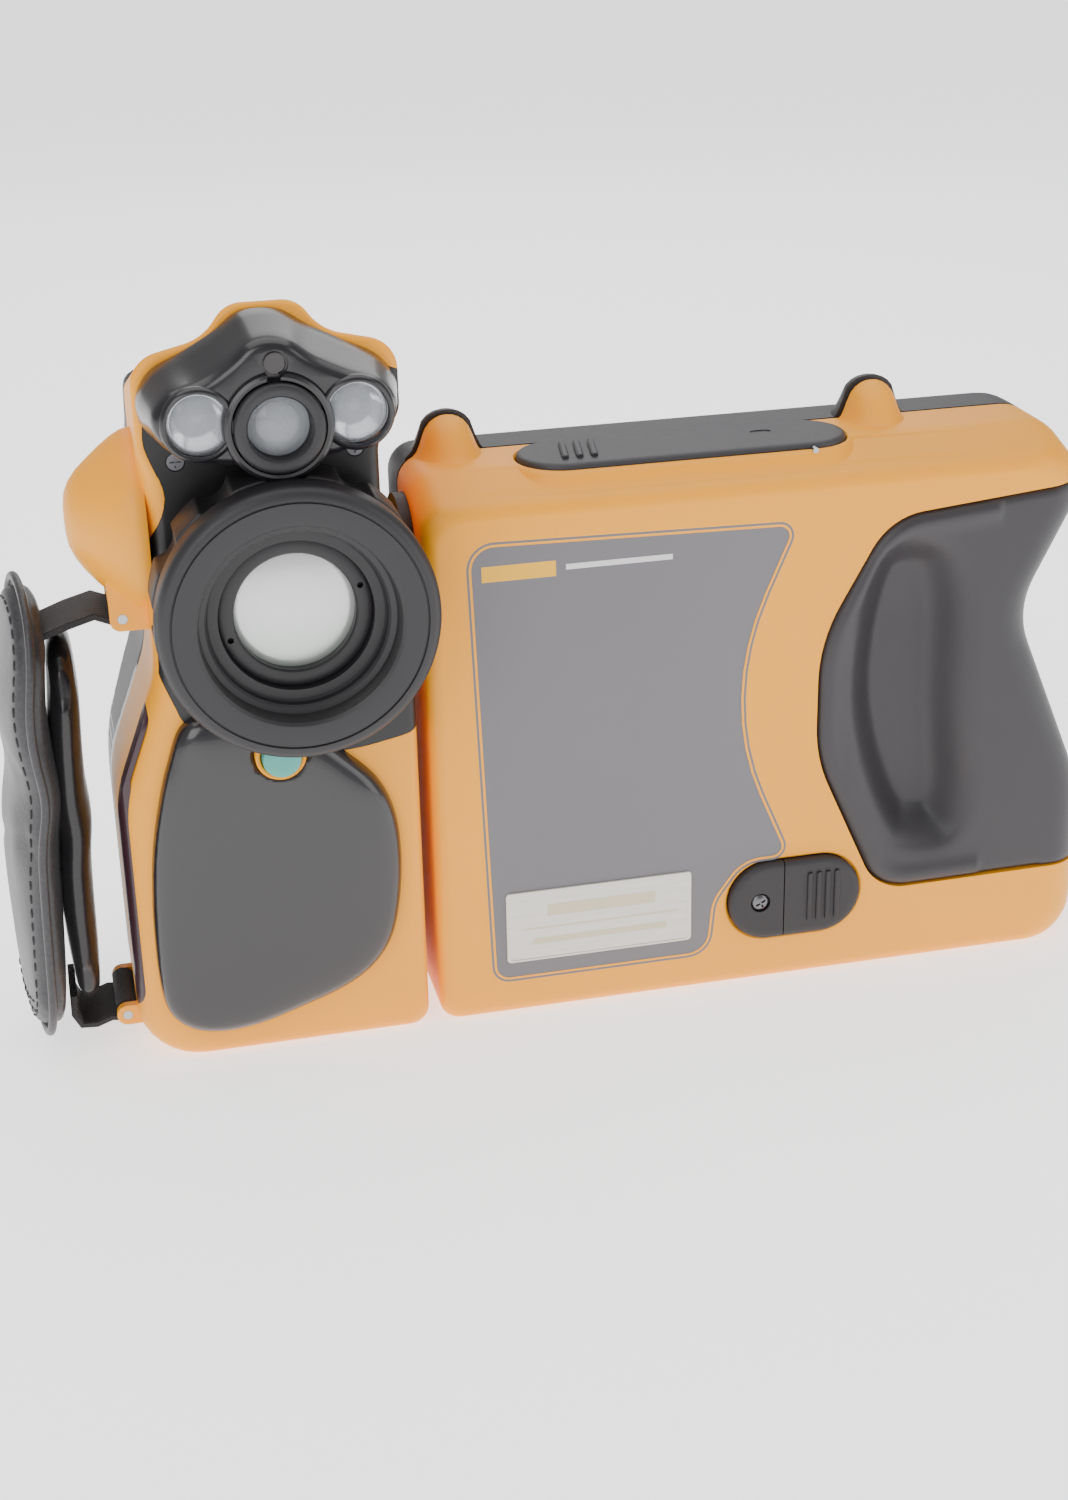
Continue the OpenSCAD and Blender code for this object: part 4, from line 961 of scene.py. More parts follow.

# %% [markdown]
# ## Flap on the deck
# The long flap covers the memory card. Its top edge is rolled, three slanted ribs at the left end
# give a fingernail a hold, and a small mark and the hinge pin's bore are cut at the right.

# %% Flap
def flap_plate():
    rings = [(z, stadium(*FLAP, g)) for z, g in
             ((FLAP_Z + 0.02, -0.3), (FLAP_Z + 0.3, 0), (FLAP_Z + 1.9, 0), (FLAP_Z + 2.35, -0.2),
              (FLAP_Z + 2.65, -0.6), (FLAP_Z + 2.8, -1.2), (FLAP_Z + 2.8, -2.4))]
    piece = skin("deck_flap", along_z(rings))
    for k in range(3):
        x = -8.6 + 3.7 * k
        rib = [[(x + 2.2 * (t - 0.5) + w * s, -11 + 13.5 * t, z) for t, s in
                ((0, -1), (0, 1), (0.12, 1.3), (0.88, 1.3), (1, 1), (1, -1), (0.88, -1.3),
                 (0.12, -1.3))]
               for z, w in ((145.3, 0.75), (146.1, 0.7), (146.45, 0.35))]
        carve(piece, skin("flap_rib", rib), operation="UNION")
    carve(piece, skin("mark", along_z([(z, stadium(40.5, 46.0, -3.4, -0.6, 0, 6))
                                       for z in (145.35, 147)])))
    carve(piece, rod("pin_bore", 52.5, 144.2, 0.83, -18, 9, 24))
    return piece


deck_flap = flap_plate()
stand_for(shade(deck_flap, 30), DARK, "top_flap")
print("flap", len(deck_flap.data.polygons), "faces")

# %% Rear keys
def key_cap(name, node, points, finish, hole=None):
    """A rubber key whose top edge is rolled and whose face is slightly hollow."""
    rings = [(y, points(g)) for y, g in
             ((22.5, 0), (27.6, 0), (28.1, -0.25), (28.4, -0.7), (28.5, -1.3), (28.42, -2.6))]
    piece = skin(name, along_y(rings))
    if hole:
        carve(piece, rod("hole", THUMB_X, NAV_Z, hole, 20, 32))
    stand_for(shade(piece), finish, node)


for k, x in enumerate(KEY_X):
    key_cap(f"soft_key_{k + 1}", f"key_f{k + 1}", lambda g, x=x: stadium(x - 8, x + 8, 21, 29, g),
            KEYS)
key_cap("power_button", "key_power", lambda g: circle(THUMB_X, POWER_Z, 5 + g, 48), GREEN)
key_cap("navigation_ring", "nav_pad", lambda g: circle(THUMB_X, NAV_Z, 11 + g, 64), KEYS, 5.3)
enter = turned("centre_button", THUMB_X, NAV_Z,
               [(0, 22.5), (5, 22.5), (5, 28.6), (4.75, 29.1), (4.2, 29.4), (3.2, 29.5),
                (0, 29.35)], 48)
stand_for(enter, YELLOW, "key_enter")
for x, z in ((THUMB_X, NAV_Z + 8), (THUMB_X + 8, NAV_Z), (THUMB_X, NAV_Z - 8),
             (THUMB_X - 8, NAV_Z)):
    a = math.atan2(z - NAV_Z, x - THUMB_X)
    mark = [[(x + r * math.cos(a + t), y, z + r * math.sin(a + t)) for t in (0, 2.4, 3.9)]
            for y, r in ((28.3, 1.5), (28.62, 1.2))]
    extra(skin("arrow", mark), YELLOW, "nav_pad")
print("six rear keys and four arrows")

# %% [markdown]
# ## Imager module shells
# The front half is a skin of rings like the screen module's, with a wider roll on its left side.
# Its top falls away towards the back: points above the pivot's height are pressed down, more with
# each step back. The back half swells to fill the palm, so it is cut from three crossing outlines,
# remeshed and melted smooth.

# %% Shape of the imager module
IM_RIGHT, IM_LEFT, IM_TOP = -51.7, -126.0, 192.4
POD_X, POD_HALF, NECK_X, WAIST_X = -83.0, 30.6, -57.7, -114.0
LENS_X, LENS_Z = -82.0, 124.7
TORCH_X = (POD_X - 17.6, POD_X + 17.6)
TORCH_Z, EYE_Z, LASER_Z = 170.5, 168.8, 182.7
TRIGGER = (-86.5, 84.5)
COVER_SCREWS = [(-105, 157), (-63.5, 157)]
DOOR_LOW, DOOR_HIGH = (-116, 5, -4), (-60.4, 20.3, 3)
EAR_PIN, HUB_PIN = (-128.6, 10), (-120, 117)


def imager_corners(y, d=0.0):
    """Corners of the imager's section at y; each side draws in with its own roll."""
    left, low, right_in, top = (roll(y, FACE, f) + d for f in (9, 4, 2.6, 1.5))
    x0, x1, z0, z1 = IM_LEFT + left, IM_RIGHT - right_in, low, IM_TOP - top
    neck, pod_right, pod_left = NECK_X - right_in, POD_X + POD_HALF - top, POD_X - POD_HALF + top
    return [(x0, z0, 13), (x1, z0, 5), (x1, 132, 10), (neck, 142, 8), (neck, 158, 8),
            (pod_right, 164, 7), (pod_right, z1 - 11.5, 8), (POD_X + 13.5, z1 - 7.5, 12),
            (POD_X + 8, z1, 7), (POD_X - 8, z1, 7), (POD_X - 13.5, z1 - 7.5, 12),
            (pod_left, z1 - 11.5, 8), (pod_left, 160, 6), (WAIST_X + left * 0.6, 152, 6),
            (WAIST_X + left * 0.8, 103, 30), (x0, 72, 40)]


def sloped(points, y):
    """Press the top of an outline down, so that the module's top falls away towards the back."""
    share = 1 - 0.0107 * max(0.0, min(32, y + 24))
    return [Vector((p.x, 150 + (p.y - 150) * share)) if p.y > 150 else p for p in points]


def imager_ring(y, d=0.0):
    return sloped(rounded(imager_corners(y, d)), y)


IM_LEVELS = [8, 2, -4, -10, -14, -16, -17.5, -19, -20.3, -21.4, -22.3, -23.1, -23.8, -24.3, -24.7,
             -24.92, -25]
imager_front = skin("imager_front", along_y([(y, imager_ring(y)) for y in IM_LEVELS]))
carve(imager_front, skin("front_hollow", along_y([
    (y, imager_ring(min(y, 8), 2.2)) for y in (9, 2, -4, -10, -14, -17.5, -19.5, -20.4)])))

# The black cover's wavy left edge
COVER = flowing([(-107, 91), (-110.5, 98), (-113.6, 106), (-115.6, 114), (-116.2, 122),
                 (-115.2, 131), (-112.6, 138), (-109.6, 143.5), (-108.2, 148), (-108.6, 152),
                 (-110.6, 157), (-112, 163), (-110, 171.5), (-103, 178), (-92.5, 184), (-84, 187.4),
                 (-75.5, 184), (-63, 178), (-50, 173), (-42, 160), (-43, 140), (-44, 110),
                 (-48, 88), (-62, 82), (-80, 81),
                 (-96, 83)], 140)


def cover_levels(low, high, g):
    return along_y([(low, shifted(COVER, g)), (high, shifted(COVER, g))])


carve(
    imager_front,
    skin("cover_seat", cover_levels(-21, -32, 0.0)),
    block("door_way", (-116, -17.3, -2), (-60.4, 10, 3)),
    rod_x("bush_bore", -2, 124.7, 9.05, -60, -50),
    rod("collar_bore", *TRIGGER, 6.25, -30, -19),
    *[rod("screw_way", x, z, 1.2, -30, -16, 24) for x, z in COVER_SCREWS],
)
ear = skin("ear", along_y([(y, stadium(-131.6, -119, 7, 13, -0.3, 8)) for y in (-15.5, 7.5)]))
carve(imager_front, ear, operation="UNION")
carve(imager_front, block("ear_slot", (-137, -13.3, 1), (-125.3, 5.3, 13.3)),
      rod("ear_bore", *EAR_PIN, 1.28, -17, 9, 24))
stand_for(shade(imager_front, 32), ORANGE, "imager_front_shell")
print("imager front", len(imager_front.data.polygons), "faces")

# %% Black cover on the imager's front
cover = skin("black_cover", along_y([(y, imager_ring(y)) for y in (-20, -21, *IM_LEVELS[9:])]))
carve(cover, skin("cover_form", cover_levels(-21, -32, -0.12)), operation="INTERSECT")
carve(cover, rod("light_way", LENS_X, LENS_Z, 19, -30, -18, 64),
      rod("pod_way", POD_X, TORCH_Z, 6, -30, -18),
      *[rod("head_seat", x, z, 2.2, -30, -23.4, 32) for x, z in COVER_SCREWS],
      *[rod("screw_way", x, z, 1.2, -30, -18, 24) for x, z in COVER_SCREWS])
stand_for(shade(cover, 30), BLACK, "imager_front_cover")
print("black cover", len(cover.data.polygons), "faces")

# %% Rear shell of the imager
side_view = [(-25, 0, 3), (30, 0, 10), (40, 45, 30), (40, 105, 30), (26, 150, 20), (9, 177.4, 8),
             (-20, 192.4, 3), (-25, 192.4, 2)]
top_view = [(-126, -25, 8), (-51.7, -25, 3), (-51.7, 40, 10), (-126, 40, 20)]


def imager_form(name, d):
    """The imager's solid form: three crossing outlines, drawn in by d."""
    form = skin(name, along_y([(y, sloped(rounded(grown(imager_corners(0), -d)), 8))
                               for y in (8.5, 44)]))
    side_form = skin("side_form",
                     along_x([(x, rounded(grown(side_view, -d))) for x in (-140, -40)]))
    top_form = skin("top_form", along_z([(z, rounded(grown(top_view, -d))) for z in (-5, 200)]))
    carve(form, side_form, top_form, operation="INTERSECT")
    return form


imager_rear = imager_form("imager_rear", 0)
remould(imager_rear, 1.0, 7)
carve(imager_rear, block("trim", (-140, 0, -10), (-40, 9, 200)))
hollow = imager_form("hollow", 2.6)
for v in hollow.data.vertices:
    if v.co.y < 12 * MM:
        v.co.y = 0
carve(imager_rear, hollow)
carve(imager_rear, block("door_way", DOOR_LOW, DOOR_HIGH))
stand_for(shade(imager_rear, 40), DARK, "imager_rear_shell")
gasket = skin("imager_seal", along_y([(y, imager_ring(8, 0.5)) for y in (8, 9)]))
carve(gasket, skin("gasket_way", along_y([(y, imager_ring(8, 2.2)) for y in (7, 10)])),
      block("door_way", DOOR_LOW, DOOR_HIGH))
stand_for(shade(gasket), SOFT, "imager_gasket")
print("imager rear", len(imager_rear.data.polygons), "faces")

# %% [markdown]
# ## Strap hub
# The blunt nose on the imager's left side carries the strap. It is turned about a line along X,
# with a soft shoulder, and has a slanted slot pressed into it. Ears below it hold the pin.

# %% Strap hub
def hub_ring(x, r, lift=0.0):
    return [(x, -4 + r * math.cos(a), 138 + lift + r * math.sin(a))
            for a in (2 * math.pi * k / 72 for k in range(72))]


hub = skin("strap_hub_nose", [hub_ring(x, r, lift) for x, r, lift in
                              ((-112.5, 21.6, 0), (-114, 21.9, 0), (-116, 21.4, 0), (-118.5, 20, 0),
                               (-121.5, 17.6, 0.2), (-124.5, 14.8, 0.5), (-127.2, 12.0, 0.9),
                               (-129.2, 9.2, 1.2), (-130.4, 6.4, 1.4), (-130.9, 3.4, 1.5),
                               (-131, 0.4, 1.5))])
slot_tool = skin("slot_tool", [
    [(x, -4 + u * math.cos(0.9) - w * math.sin(0.9), 139 + u * math.sin(0.9) + w * math.cos(0.9))
     for u, w in ((-7 - g, -0.7 - g), (7 + g, -0.7 - g), (7 + g, 0.7 + g), (-7 - g, 0.7 + g))]
    for x, g in ((-129.4, 0), (-133, 0.9))])
carve(hub, slot_tool)
lug = skin("hub_lug", along_y([
    (y, rounded([(-123, 114, 2.5), (-113, 114, 0.5), (-113, 132, 0.5), (-123, 128, 2)]))
    for y in (-15.5, 7.5)]))
carve(hub, lug, operation="UNION")
carve(hub, block("web_slot", (-130, -13.3, 106), (-116.7, 5.3, 120.3)),
      rod("pin_bore", *HUB_PIN, 1.28, -17, 9, 24))
stand_for(shade(hub, 40), ORANGE, "strap_hub")
print("hub", len(hub.data.polygons), "faces")

# %% [markdown]
# ## Front pad, side grip and trigger
# The front pad is polished by use. It is a low pillow with rolled edges: rings of a smooth outline
# step inwards while they rise, and the crown is filled by a last small ring. The trigger is a
# small teal button in an orange collar.

# %% Front grip pad
PAD = flowing([(-108.5, 93), (-113.2, 83), (-116.6, 71), (-119, 58), (-120.2, 42), (-120.2, 26),
               (-118.6, 15.5),
               (-113.5, 10), (-106, 8), (-96, 8.8), (-84.2, 12.4), (-73.5, 16.4), (-66, 21.5),
               (-60.8, 29), (-58.2, 40), (-57.4, 53), (-58.6, 64), (-62.5, 73), (-69.5, 80.5),
               (-78, 88),
               (-86, 93), (-98, 95)], 120)
pad_rings = [(-23.2, 0.0), (-25.6, 0.0), (-26.9, -0.25), (-28.0, -0.8), (-28.9, -1.7),
             (-29.6, -2.9),
             (-30.15, -4.6), (-30.6, -6.8), (-31.0, -9.8), (-31.3, -13.5), (-31.45, -18),
             (-31.5, -23)]
centre = Vector((-89.5, 50.5))
levels = []
for y, g in pad_rings:
    if g > -3:
        levels.append((y, shifted(PAD, g)))
    else:
        inner = shifted(PAD, -2.9)
        share = 1 - (-g - 2.9) / 34
        levels.append((y, [centre + (p - centre) * share for p in inner]))
pad = skin("front_pad", along_y(levels), smooth=60)
carve(pad, rod("collar_bore", *TRIGGER, 6.3, -40, -20))
remould(pad, 0.8, 3)
stand_for(shade(pad, 80), GLOSSY_PAD, "front_grip_pad")
collar = turned("trigger_collar_ring", *TRIGGER,
                [(4.95, -21), (4.95, -32.3), (5.15, -32.8), (5.6, -33), (5.95, -32.7), (6.2, -32.1),
                 (6.2, -21)], 64)
stand_for(collar, ORANGE, "trigger_collar")
button = turned("trigger_button", *TRIGGER,
                [(0, -19), (2, -19), (2, -23), (4.72, -23), (4.72, -34.2), (4.5, -34.7),
                 (4.0, -34.95), (2.5, -35), (0, -34.9)], 64)
stand_for(button, TEAL, "trigger")
side_pad = softened("side_grip", 0.5, 2, 30, "side_rubber_skin")
stand_for(side_pad, SIDE, "side_grip")
print("pad", len(pad.data.polygons), "faces")

# %% Battery door
door = softened("battery_door", 0.3, 2, 30, "battery_door_plate")
stand_for(door, DARK, "battery_door")

# %% [markdown]
# ## Light pod
# The pod is a three-lobed block that narrows towards its front. Two smooth outlines, one at the
# back and one at the front, are blended ring by ring. The front edge is rolled, and the front
# face is cut for the two torches, the camera and the small laser window.

# %% Light pod
POD_BACK = flowing([(-112.8, 172), (-109.3, 178.6), (-101.5, 182.6), (-94.5, 186.5), (-89.2, 190.4),
                    (-84, 191.3),
                    (-78.5, 190.3), (-72.8, 186.6), (-65.5, 182.8), (-57.3, 178.4), (-53.4, 171.6),
                    (-56, 165.2), (-63, 161), (-72, 158.6), (-83.5, 157.8), (-95, 158.4),
                    (-104.5, 160.8),
                    (-110.8, 165)], 120)
POD_FRONT = flowing([(-110.4, 172), (-106.2, 177.4), (-98.6, 179.6), (-92.6, 183.4), (-88.4, 186.9),
                     (-84, 188),
                     (-79.6, 187), (-75.2, 183.6), (-68, 180), (-60, 176.8), (-56.4, 171.6),
                     (-59, 166.2), (-65, 163), (-72.6, 160.9), (-83.5, 160.2), (-94, 160.6),
                     (-102.8, 162.6),
                     (-108.2, 166)], 120)


def pod_ring(y, g=0.0):
    share = max(0, min(1, (y + 45) / 18))
    return (y, shifted([a.lerp(b, share) for a, b in zip(POD_FRONT, POD_BACK)], g))


pod = skin("light_pod_body", along_y([pod_ring(y, g) for y, g in
                                      ((-25, -0.2), (-25.6, 0), (-27, 0.1), (-31, 0.1), (-35, 0),
                                       (-39, 0), (-41.6, 0),
                                       (-42.8, -0.1), (-43.6, -0.3), (-44.3, -0.7), (-44.75, -1.2),
                                       (-45, -1.9))]), smooth=50)
carve(pod, rod("camera_way", POD_X, EYE_Z, 9.4, -50, -28, 64),
      *[rod("torch_way", x, TORCH_Z, 6.9, -50, -28, 64) for x in TORCH_X])
carve(pod, *[turned("torch_rim", x, TORCH_Z, [
    (7.1, -44), (8.6, -44), (8.5, -45.0), (8.1, -45.7), (7.6, -45.95), (7.2, -45.8), (7.05, -45.3)],
                    60)
    for x in TORCH_X],
    turned("camera_rim", POD_X, EYE_Z, [
        (9.8, -42), (12.6, -42), (12.5, -45.2), (12.1, -46.1), (11.4, -46.5), (10.7, -46.4),
        (10.4, -45.9), (10.3, -44.3)], 90), operation="UNION")
carve(pod, turned("camera_groove", POD_X, EYE_Z,
                  [(9.9, -44.1), (10.75, -44.1), (10.75, -45.8), (9.9, -45.8)], 84))
carve(pod, turned("laser_groove", POD_X, 182.9,
                  [(2.45, -44.4), (3.0, -44.4), (3.0, -47), (2.45, -47)], 48),
      rod("laser_way", POD_X, LASER_Z, 2.4, -50, -28, 48),
      skin("notch", [[(POD_X - 2.3 + g, y, 179.4), (POD_X + 0.9 + g, y, 179.4),
                      (POD_X + 1.1 - g, y, 181.2), (POD_X - 1.5 - g, y, 181.2)]
                     for y, g in ((-44.2, 0), (-48, 0))]))
stand_for(shade(pod, 40), POD, "light_pod")
print("pod", len(pod.data.polygons), "faces")

# %% Torches
def torch(name, x):
    """A bright bowl with shallow rings; the small lamp at its foot is made on its own below."""
    bowl = [(6.85, -42.9), (6.3, -43.0)]
    for k in range(9):
        t = k / 8
        r = lerp(6.2, 1.6, t)
        bowl.append((r, -43 + 6.6 * (1 - (r / 6.2) ** 1.7) + (0.12 if k % 2 else 0)))
    return turned(name, x, TORCH_Z, [*bowl, (0, -36.2), (0, -34), (6.85, -34)], 64, 20)


bowls = joined("torch_bowls", *[torch("bowl", x) for x in TORCH_X])
stand_for(bowls, MIRROR, "torch_reflectors")
lens_profile = [(0, -45.1), (2, -45.0), (4, -44.65), (5.6, -44.2), (6.7, -43.7), (6.7, -43.05),
                (0, -43.05)]
domes = joined("torch_lenses", *[turned("dome", x, TORCH_Z, lens_profile, 64) for x in TORCH_X])
stand_for(domes, CLEAR, "torch_windows")
lamps = [turned("lamp", x, TORCH_Z,
                [(0, -39.6), (1.0, -39.4), (1.4, -38.6), (1.4, -36.3), (0, -36.3)], 32)
         for x in TORCH_X]
extra(joined("torch_lamps", *lamps), KEYS, "imager")

# %% Visible-light camera
barrel = turned("camera_tube", POD_X, EYE_Z,
                [(7.2, -47.4), (7.6, -47.9), (8.4, -48), (9.4, -48), (9.95, -47.7), (10.2, -47.2),
                 (10.2, -45.5),
                 (9.35, -45.3), (9.35, -29), (5, -29), (5, -42.2), (5.6, -42.6), (7.15, -42.8)], 96)
stand_for(barrel, LENS_BLACK, "camera_barrel")
eye = turned("camera_eye", POD_X, EYE_Z,
             [(0, -45.6), (2.4, -45.3), (4.6, -44.6), (6.0, -43.9), (7.0, -43.5), (7.0, -42.9),
              (0, -42.9)], 64)
stand_for(eye, CLEAR, "camera_window")
iris = turned("camera_iris", POD_X, EYE_Z,
              [(0, -41.6), (2.0, -41.6), (2.2, -42.2), (3.6, -42.5), (4.9, -42.5), (4.9, -40),
               (0, -40)], 64)
extra(iris, KEYS, "imager")
print("lights and camera made")

# %% [markdown]
# ## Infrared lens
# Everything round the lens is turned, so each piece is a profile spun round the lens's line. The
# bezel's face is flat and matt with one fine groove, then the way in steps down in two shoulders
# to the retaining ring, whose two small holes take a pin spanner.

# %% Infrared lens
bezel = turned("lens_hood", LENS_X, LENS_Z, [
    (18, -45), (18, -46.2), (20.3, -46.3), (20.7, -46.8), (20.8, -48.6), (21.3, -49.2),
    (21.9, -49.4),
    (22.6, -49.6), (22.8, -50.2), (22.9, -52.6), (23.3, -53.6), (24.0, -54.1), (24.8, -54.2),
    (28.9, -54.2), (29.0, -54.1), (29.05, -53.7), (29.35, -53.7), (29.4, -54.1), (29.5, -54.2),
    (30.6, -54.15), (31.4, -53.7), (32.1, -52.9), (32.45, -51.9), (32.5, -50.8), (32.5, -46.4),
    (32.2, -45.5), (31.4, -45)], 160, 28)
stand_for(bezel, LENS_BLACK, "lens_bezel")
ring = turned("lens_ring", LENS_X, LENS_Z,
              [(14.1, -43.4), (14.5, -43.9), (15, -44), (17.4, -44), (17.9, -43.7), (17.95, -43.2),
               (17.95, -40.8), (14.1, -40.8)], 128)
carve(ring, *[rod("pin_hole", LENS_X + s * 16.1 * math.cos(0.33),
                  LENS_Z + s * 16.1 * math.sin(0.33), 0.75, -46, -42, 24) for s in (-1, 1)])
stand_for(shade(ring), LENS_BLACK, "lens_retaining_ring")
front_lens = turned("germanium_lens", LENS_X, LENS_Z, [
    (0, -42.6), (4, -42.5), (8, -42.2), (11, -41.75), (14.05, -41.1), (16, -40.6), (16, -36.6),
    (0, -36.8)], 128, 60)
stand_for(front_lens, GERMANIUM, "front_lens")
focus = softened("focus_ring", 0.6, 3, 30, "focus_grip_ring")
stand_for(focus, LENS_BLACK, "focus_ring")
print("lens made")

# %% [markdown]
# ## Hand strap
# The strap's outer side is a stuffed leather pad. It starts as a thin rounded slab, is remeshed,
# and a short cloth simulation with a little pressure inside blows it up, so its faces crown
# and its edges pull in as stuffed leather does. A cap keeps it in its room. The liner behind it is
# made the same way, and then each gets its long wave from the hand that bends it.

# %% Strap pad
def stuffed(name, outline, low_x, high_x, cap, voxel=3.0):
    """A stuffed slab: outline in Y and Z, thickness along X, blown up by cloth pressure."""
    piece = skin(name, along_x([(low_x, [Vector(p) for p in shifted(outline, -2.5)]),
                                (low_x + 2, outline),
                                (high_x - 2, outline), (high_x, shifted(outline, -2.5))]))
    only(piece)
    remould(piece, voxel, 2)
    rest = [v.co.copy() for v in piece.data.vertices]
    cloth = piece.modifiers.new("Cloth", "CLOTH")
    cloth.settings.use_pressure = True
    cloth.settings.uniform_pressure_force = 4
    cloth.settings.effector_weights.gravity = 0
    cloth.settings.quality = 6
    cloth.point_cache.frame_start, cloth.point_cache.frame_end = 1, 20
    for step in range(1, 21):
        bpy.context.scene.frame_set(step)
    puffed = piece.evaluated_get(bpy.context.evaluated_depsgraph_get()).to_mesh()
    moved = [v.co.copy() for v in puffed.vertices]
    piece.modifiers.remove(cloth)
    bpy.context.scene.frame_set(1)
    for v, a, b in zip(piece.data.vertices, rest, moved):
        step = b - a
        v.co = a + step * min(1, cap * MM / max(step.length, 1e-9))
    applied(piece, "SUBSURF", levels=1, render_levels=1)
    return piece


def bent(piece, shift):
    """Move each point of a piece along X by shift(y, z), in millimetres."""
    for v in piece.data.vertices:
        v.co.x += shift(v.co.y / MM, v.co.z / MM) * MM
    return piece


def strap_wave(y, z):
    """The strap's long curve, seen from the front: bowed out low down, drawn in at the top."""
    lean = 3.2 - 5.7 * max(0, (120 - z) / 110) ** 1.6
    bow = 1.6 * math.sin((z - 12) / 104 * math.pi)
    return lean - 0.12 * y - bow + 1.5 * bell(z, 74, 9) - 1.2 * bell(z, 96, 12)


PAD_LINE = flowing([(-21, 26), (-21.3, 60), (-20.6, 96), (-17.5, 113), (-9, 121.5), (4, 122.5),
                    (14, 117),
                    (20, 104), (21, 66), (20.5, 28), (16, 12), (5, 6), (-8, 6), (-17, 13)], 96)
leather_pad = stuffed("strap_leather", PAD_LINE, -151.0, -142.6, 2.2)
bent(leather_pad, strap_wave)
for v in leather_pad.data.vertices:
    # creases where the hand folds it
    y, z = v.co.y / MM, v.co.z / MM
    crease = 0.5 * bell(z, 58 - 0.35 * y, 2.2) + 0.35 * bell(z, 84 + 0.3 * y, 2.6)
    if v.co.x / MM < -148:
        v.co.x += crease * MM
stand_for(leather_pad, LEATHER, "strap_pad")
print("strap pad", len(leather_pad.data.polygons), "faces")

# %% Piping and stitches round the pad
def seam_line(outline, x_of, name, radius, finish):
    """A thin tube that follows an outline, made from a circle swept ring by ring."""
    rings = []
    n = len(outline)
    for i, p in enumerate(outline):
        t = (outline[(i + 1) % n] - outline[i - 1]).normalized()
        q = Vector((t.y, -t.x))
        rings.append([(x_of(p.x, p.y) + radius * math.cos(a), p.x + q.x * radius * math.sin(a),
                       p.y + q.y * radius * math.sin(a))
                      for a in (2 * math.pi * k / 10 for k in range(10))])
    tube = skin(name, [*rings, rings[0]], (False, False), 80)
    return extra(tube, finish, "imager")


seam_line(flowing([tuple(p) for p in shifted(PAD_LINE, 1.4)], 160),
          lambda y, z: -147.3 + strap_wave(y, z), "pad_piping", 1.1, LEATHER)


def stitches(name, points, x_of, length=2.6, gap=1.2):
    """Short slightly sunk stitches along a line, each a small six-sided grain."""
    made = []
    run = [0.0]
    for a, b in zip(points, points[1:]):
        run.append(run[-1] + (b - a).length)
    at = 1.0
    while at + length < run[-1]:
        ends = []
        for s in (at, at + length):
            i = max(k for k in range(len(run)) if run[k] <= s)
            i = min(i, len(points) - 2)
            ends.append(points[i].lerp(points[i + 1],
                                       (s - run[i]) / max(run[i + 1] - run[i], 1e-9)))
        mid = ends[0].lerp(ends[1], 0.5)
        way = (ends[1] - ends[0]).normalized()
        q = Vector((way.y, -way.x))
        rings = []
        for t, r in ((-1, 0.05), (-0.85, 0.28), (0, 0.36), (0.85, 0.28), (1, 0.05)):
            c = mid + way * t * length / 2
            x = x_of(c.x, c.y)
            rings.append([(x + r * math.cos(a), c.x + q.x * r * math.sin(a),
                           c.y + q.y * r * math.sin(a))
                          for a in (math.pi / 3 * k for k in range(6))])
        made.append(skin("stitch", rings, (True, True), 80))
        at += length + gap
    return extra(joined(name, *made), THREAD, "imager")


# %% [markdown]
# ## Where the leather's face lies
# Stitches have to sit on the pad's real face, so a ray is cast at the pad from outside and each
# stitch is laid where it lands.

# %% Stitches
def face_of(piece):
    """A function of y and z that gives the x where a ray from the left meets the piece."""
    def x_of(y, z):
        hit, place = piece.ray_cast(Vector((-175, y, z)) * MM, Vector((1, 0, 0)))[:2]
        return place.x / MM if hit else -148.0

    return x_of


pad_face = face_of(leather_pad)
ring_line = flowing([tuple(p) for p in shifted(PAD_LINE, -3.2)], 200)
stitches("pad_stitches", [*ring_line, ring_line[0]], pad_face)
for k, z in enumerate((13.5, 16.5)):
    arc = [Vector((y, z + 2.4 * ((y / 14) ** 2 - 1))) for y in range(-14, 15)]
    stitches(f"low_seam_{k + 1}", arc, pad_face)

# %% Strap lining
LINER_LINE = flowing([(-18.6, 30), (-19, 60), (-18.6, 92), (-16, 105), (-8, 111), (6, 111),
                      (15, 105), (18.4, 90),
                      (19, 60), (18.6, 30), (15.5, 17), (7, 12.5), (-7, 12.5), (-15.5, 17)], 96)
liner = stuffed("strap_lining", LINER_LINE, -140.6, -134.2, 2.0)


def liner_wave(y, z):
    bow = 0.5 * math.sin((z - 12) / 98 * math.pi)
    return 0.025 * max(0, z - 40) + 0.9 * bell(z, 62, 7) - bow + 0.5 * bell(z, 96, 10)


bent(liner, liner_wave)
stand_for(liner, LINING, "strap_liner")

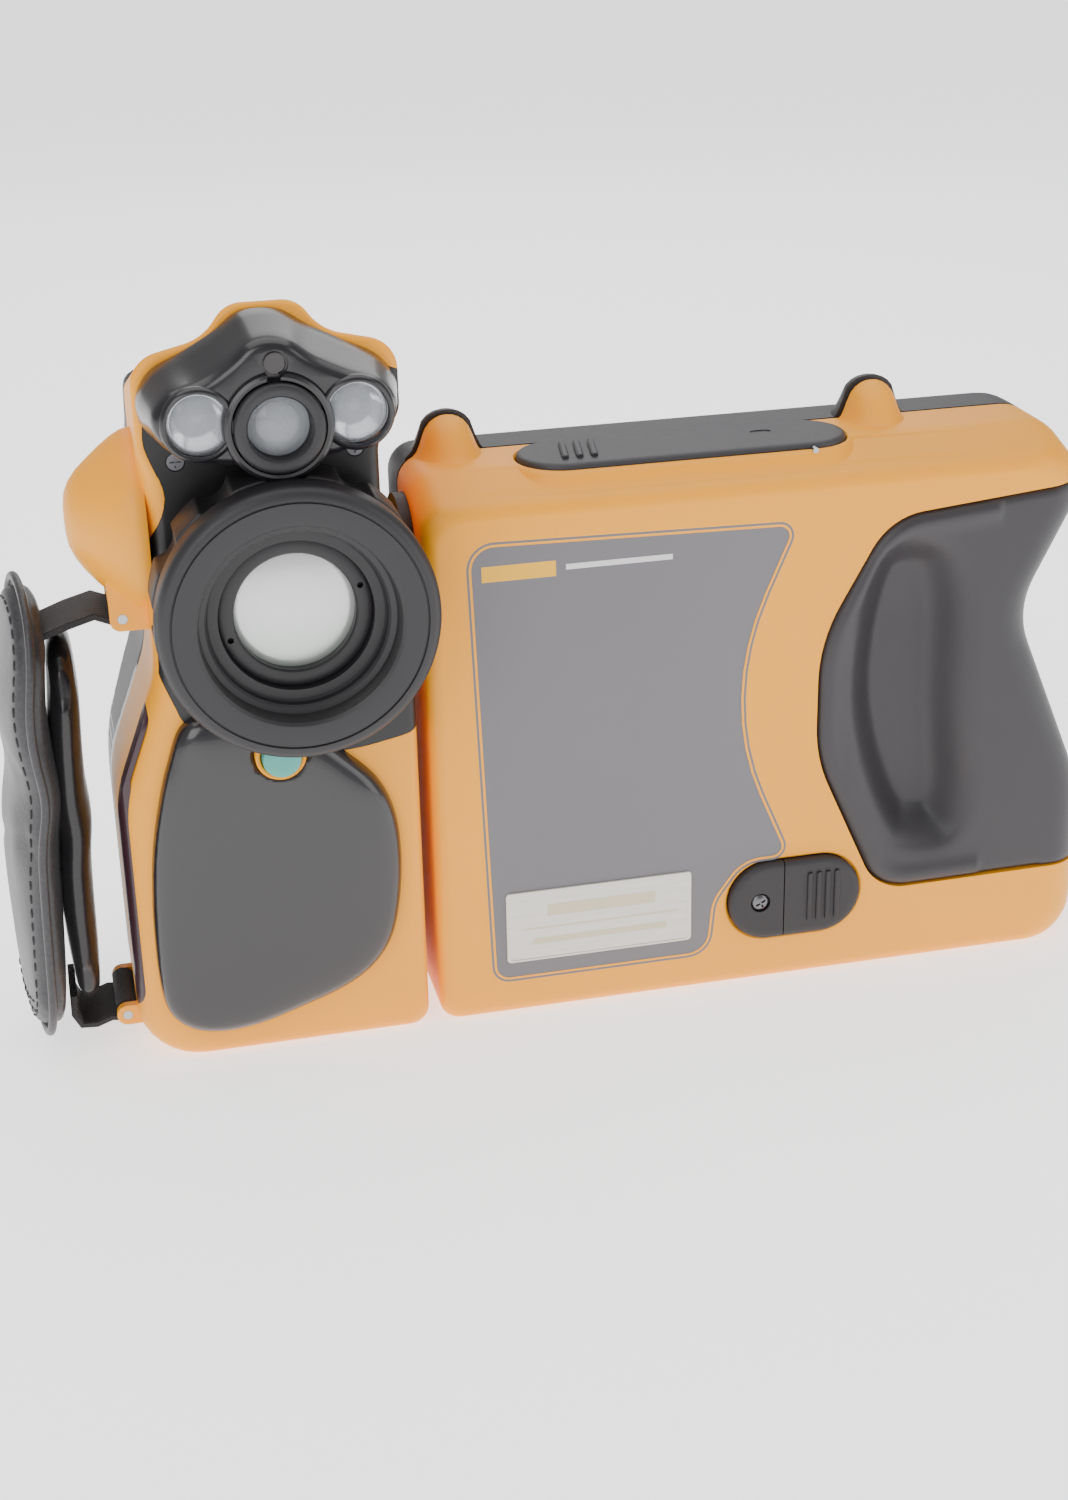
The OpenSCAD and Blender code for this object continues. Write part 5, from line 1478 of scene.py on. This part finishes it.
# %% Webbing
def web(name, points, half=9.0, thick=0.9):
    """A flat strip of webbing along a path in X and Z, with rolled edges."""
    rings = []
    for i, (x, z) in enumerate(points):
        a = Vector(points[max(i - 1, 0)])
        b = Vector(points[min(i + 1, len(points) - 1)])
        t = (b - a).normalized()
        q = Vector((-t.y, t.x))
        ring = []
        for u, w in ((-1, -0.6), (-0.96, -1), (0.96, -1), (1, -0.6), (1, 0.6), (0.96, 1),
                     (-0.96, 1), (-1, 0.6)):
            p = Vector((x, z)) + q * w * thick
            ring.append((p.x, -4 + u * half, p.y))
        rings.append(ring)
    return skin(name, rings, (True, True), 40)


def loop_round(pin, start, r=2.3, turns=9):
    """Points on a loop round a pin, which opens towards start."""
    sx, sz = start
    a0 = math.atan2(sz - pin[1], sx - pin[0])
    return [(pin[0] + r * math.cos(a0 + t), pin[1] + r * math.sin(a0 + t)) for t in
            [lerp(0.75, 2 * math.pi - 0.75, k / turns) for k in range(turns + 1)]]


top_web = web("web_top", [(-141.6, 100), (-141.4, 108), (-139.2, 113.4), (-133, 115.6),
                          (-126.5, 117.4), *loop_round(HUB_PIN, (-133, 116.5))])
low_web = web("web_low", [(-141.6, 16), (-141.8, 10.5), (-140.2, 7.2), (-136.5, 7.0),
                          (-132.6, 8.4), *loop_round(EAR_PIN, (-136, 7.6))])
stand_for(joined("strap_webbing_ends", top_web, low_web), WEBBING, "strap_webbing")
print("strap made")

# %% [markdown]
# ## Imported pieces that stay
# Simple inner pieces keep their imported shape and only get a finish.

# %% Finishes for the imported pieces
kept = {
    "display_gasket": SOFT, "power_jack": BLACK, "flap_hinge_pin": STEEL,
    "memory_card": CARD, "card_socket": STEEL, "screen_window": SCREEN, "lcd_panel": LCD,
    "main_board": BOARD, "speaker": BLACK, "case_screws": SCREW, "tripod_bush": BRASS,
    "pivot_axle": ALLOY, "pivot_washer": SOFT, "pivot_nut": STEEL, "pivot_bush": BRASS,
    "cover_screws": SCREW, "battery_pack": BLACK, "battery_door_pin": STEEL, "camera_window": CLEAR,
    "torch_windows": CLEAR, "laser_window": LASER, "focus_cell": BRASS, "infrared_detector": BRASS,
    "strap_pins": STEEL, "lens_barrel": LENS_BLACK,
}
for name, node in nodes.items():
    node.data.materials.clear()
    node.data.materials.append(kept.get(name) or DARK)
print(sum(1 for n in nodes.values() if not n.hide_render), "packed pieces stay")
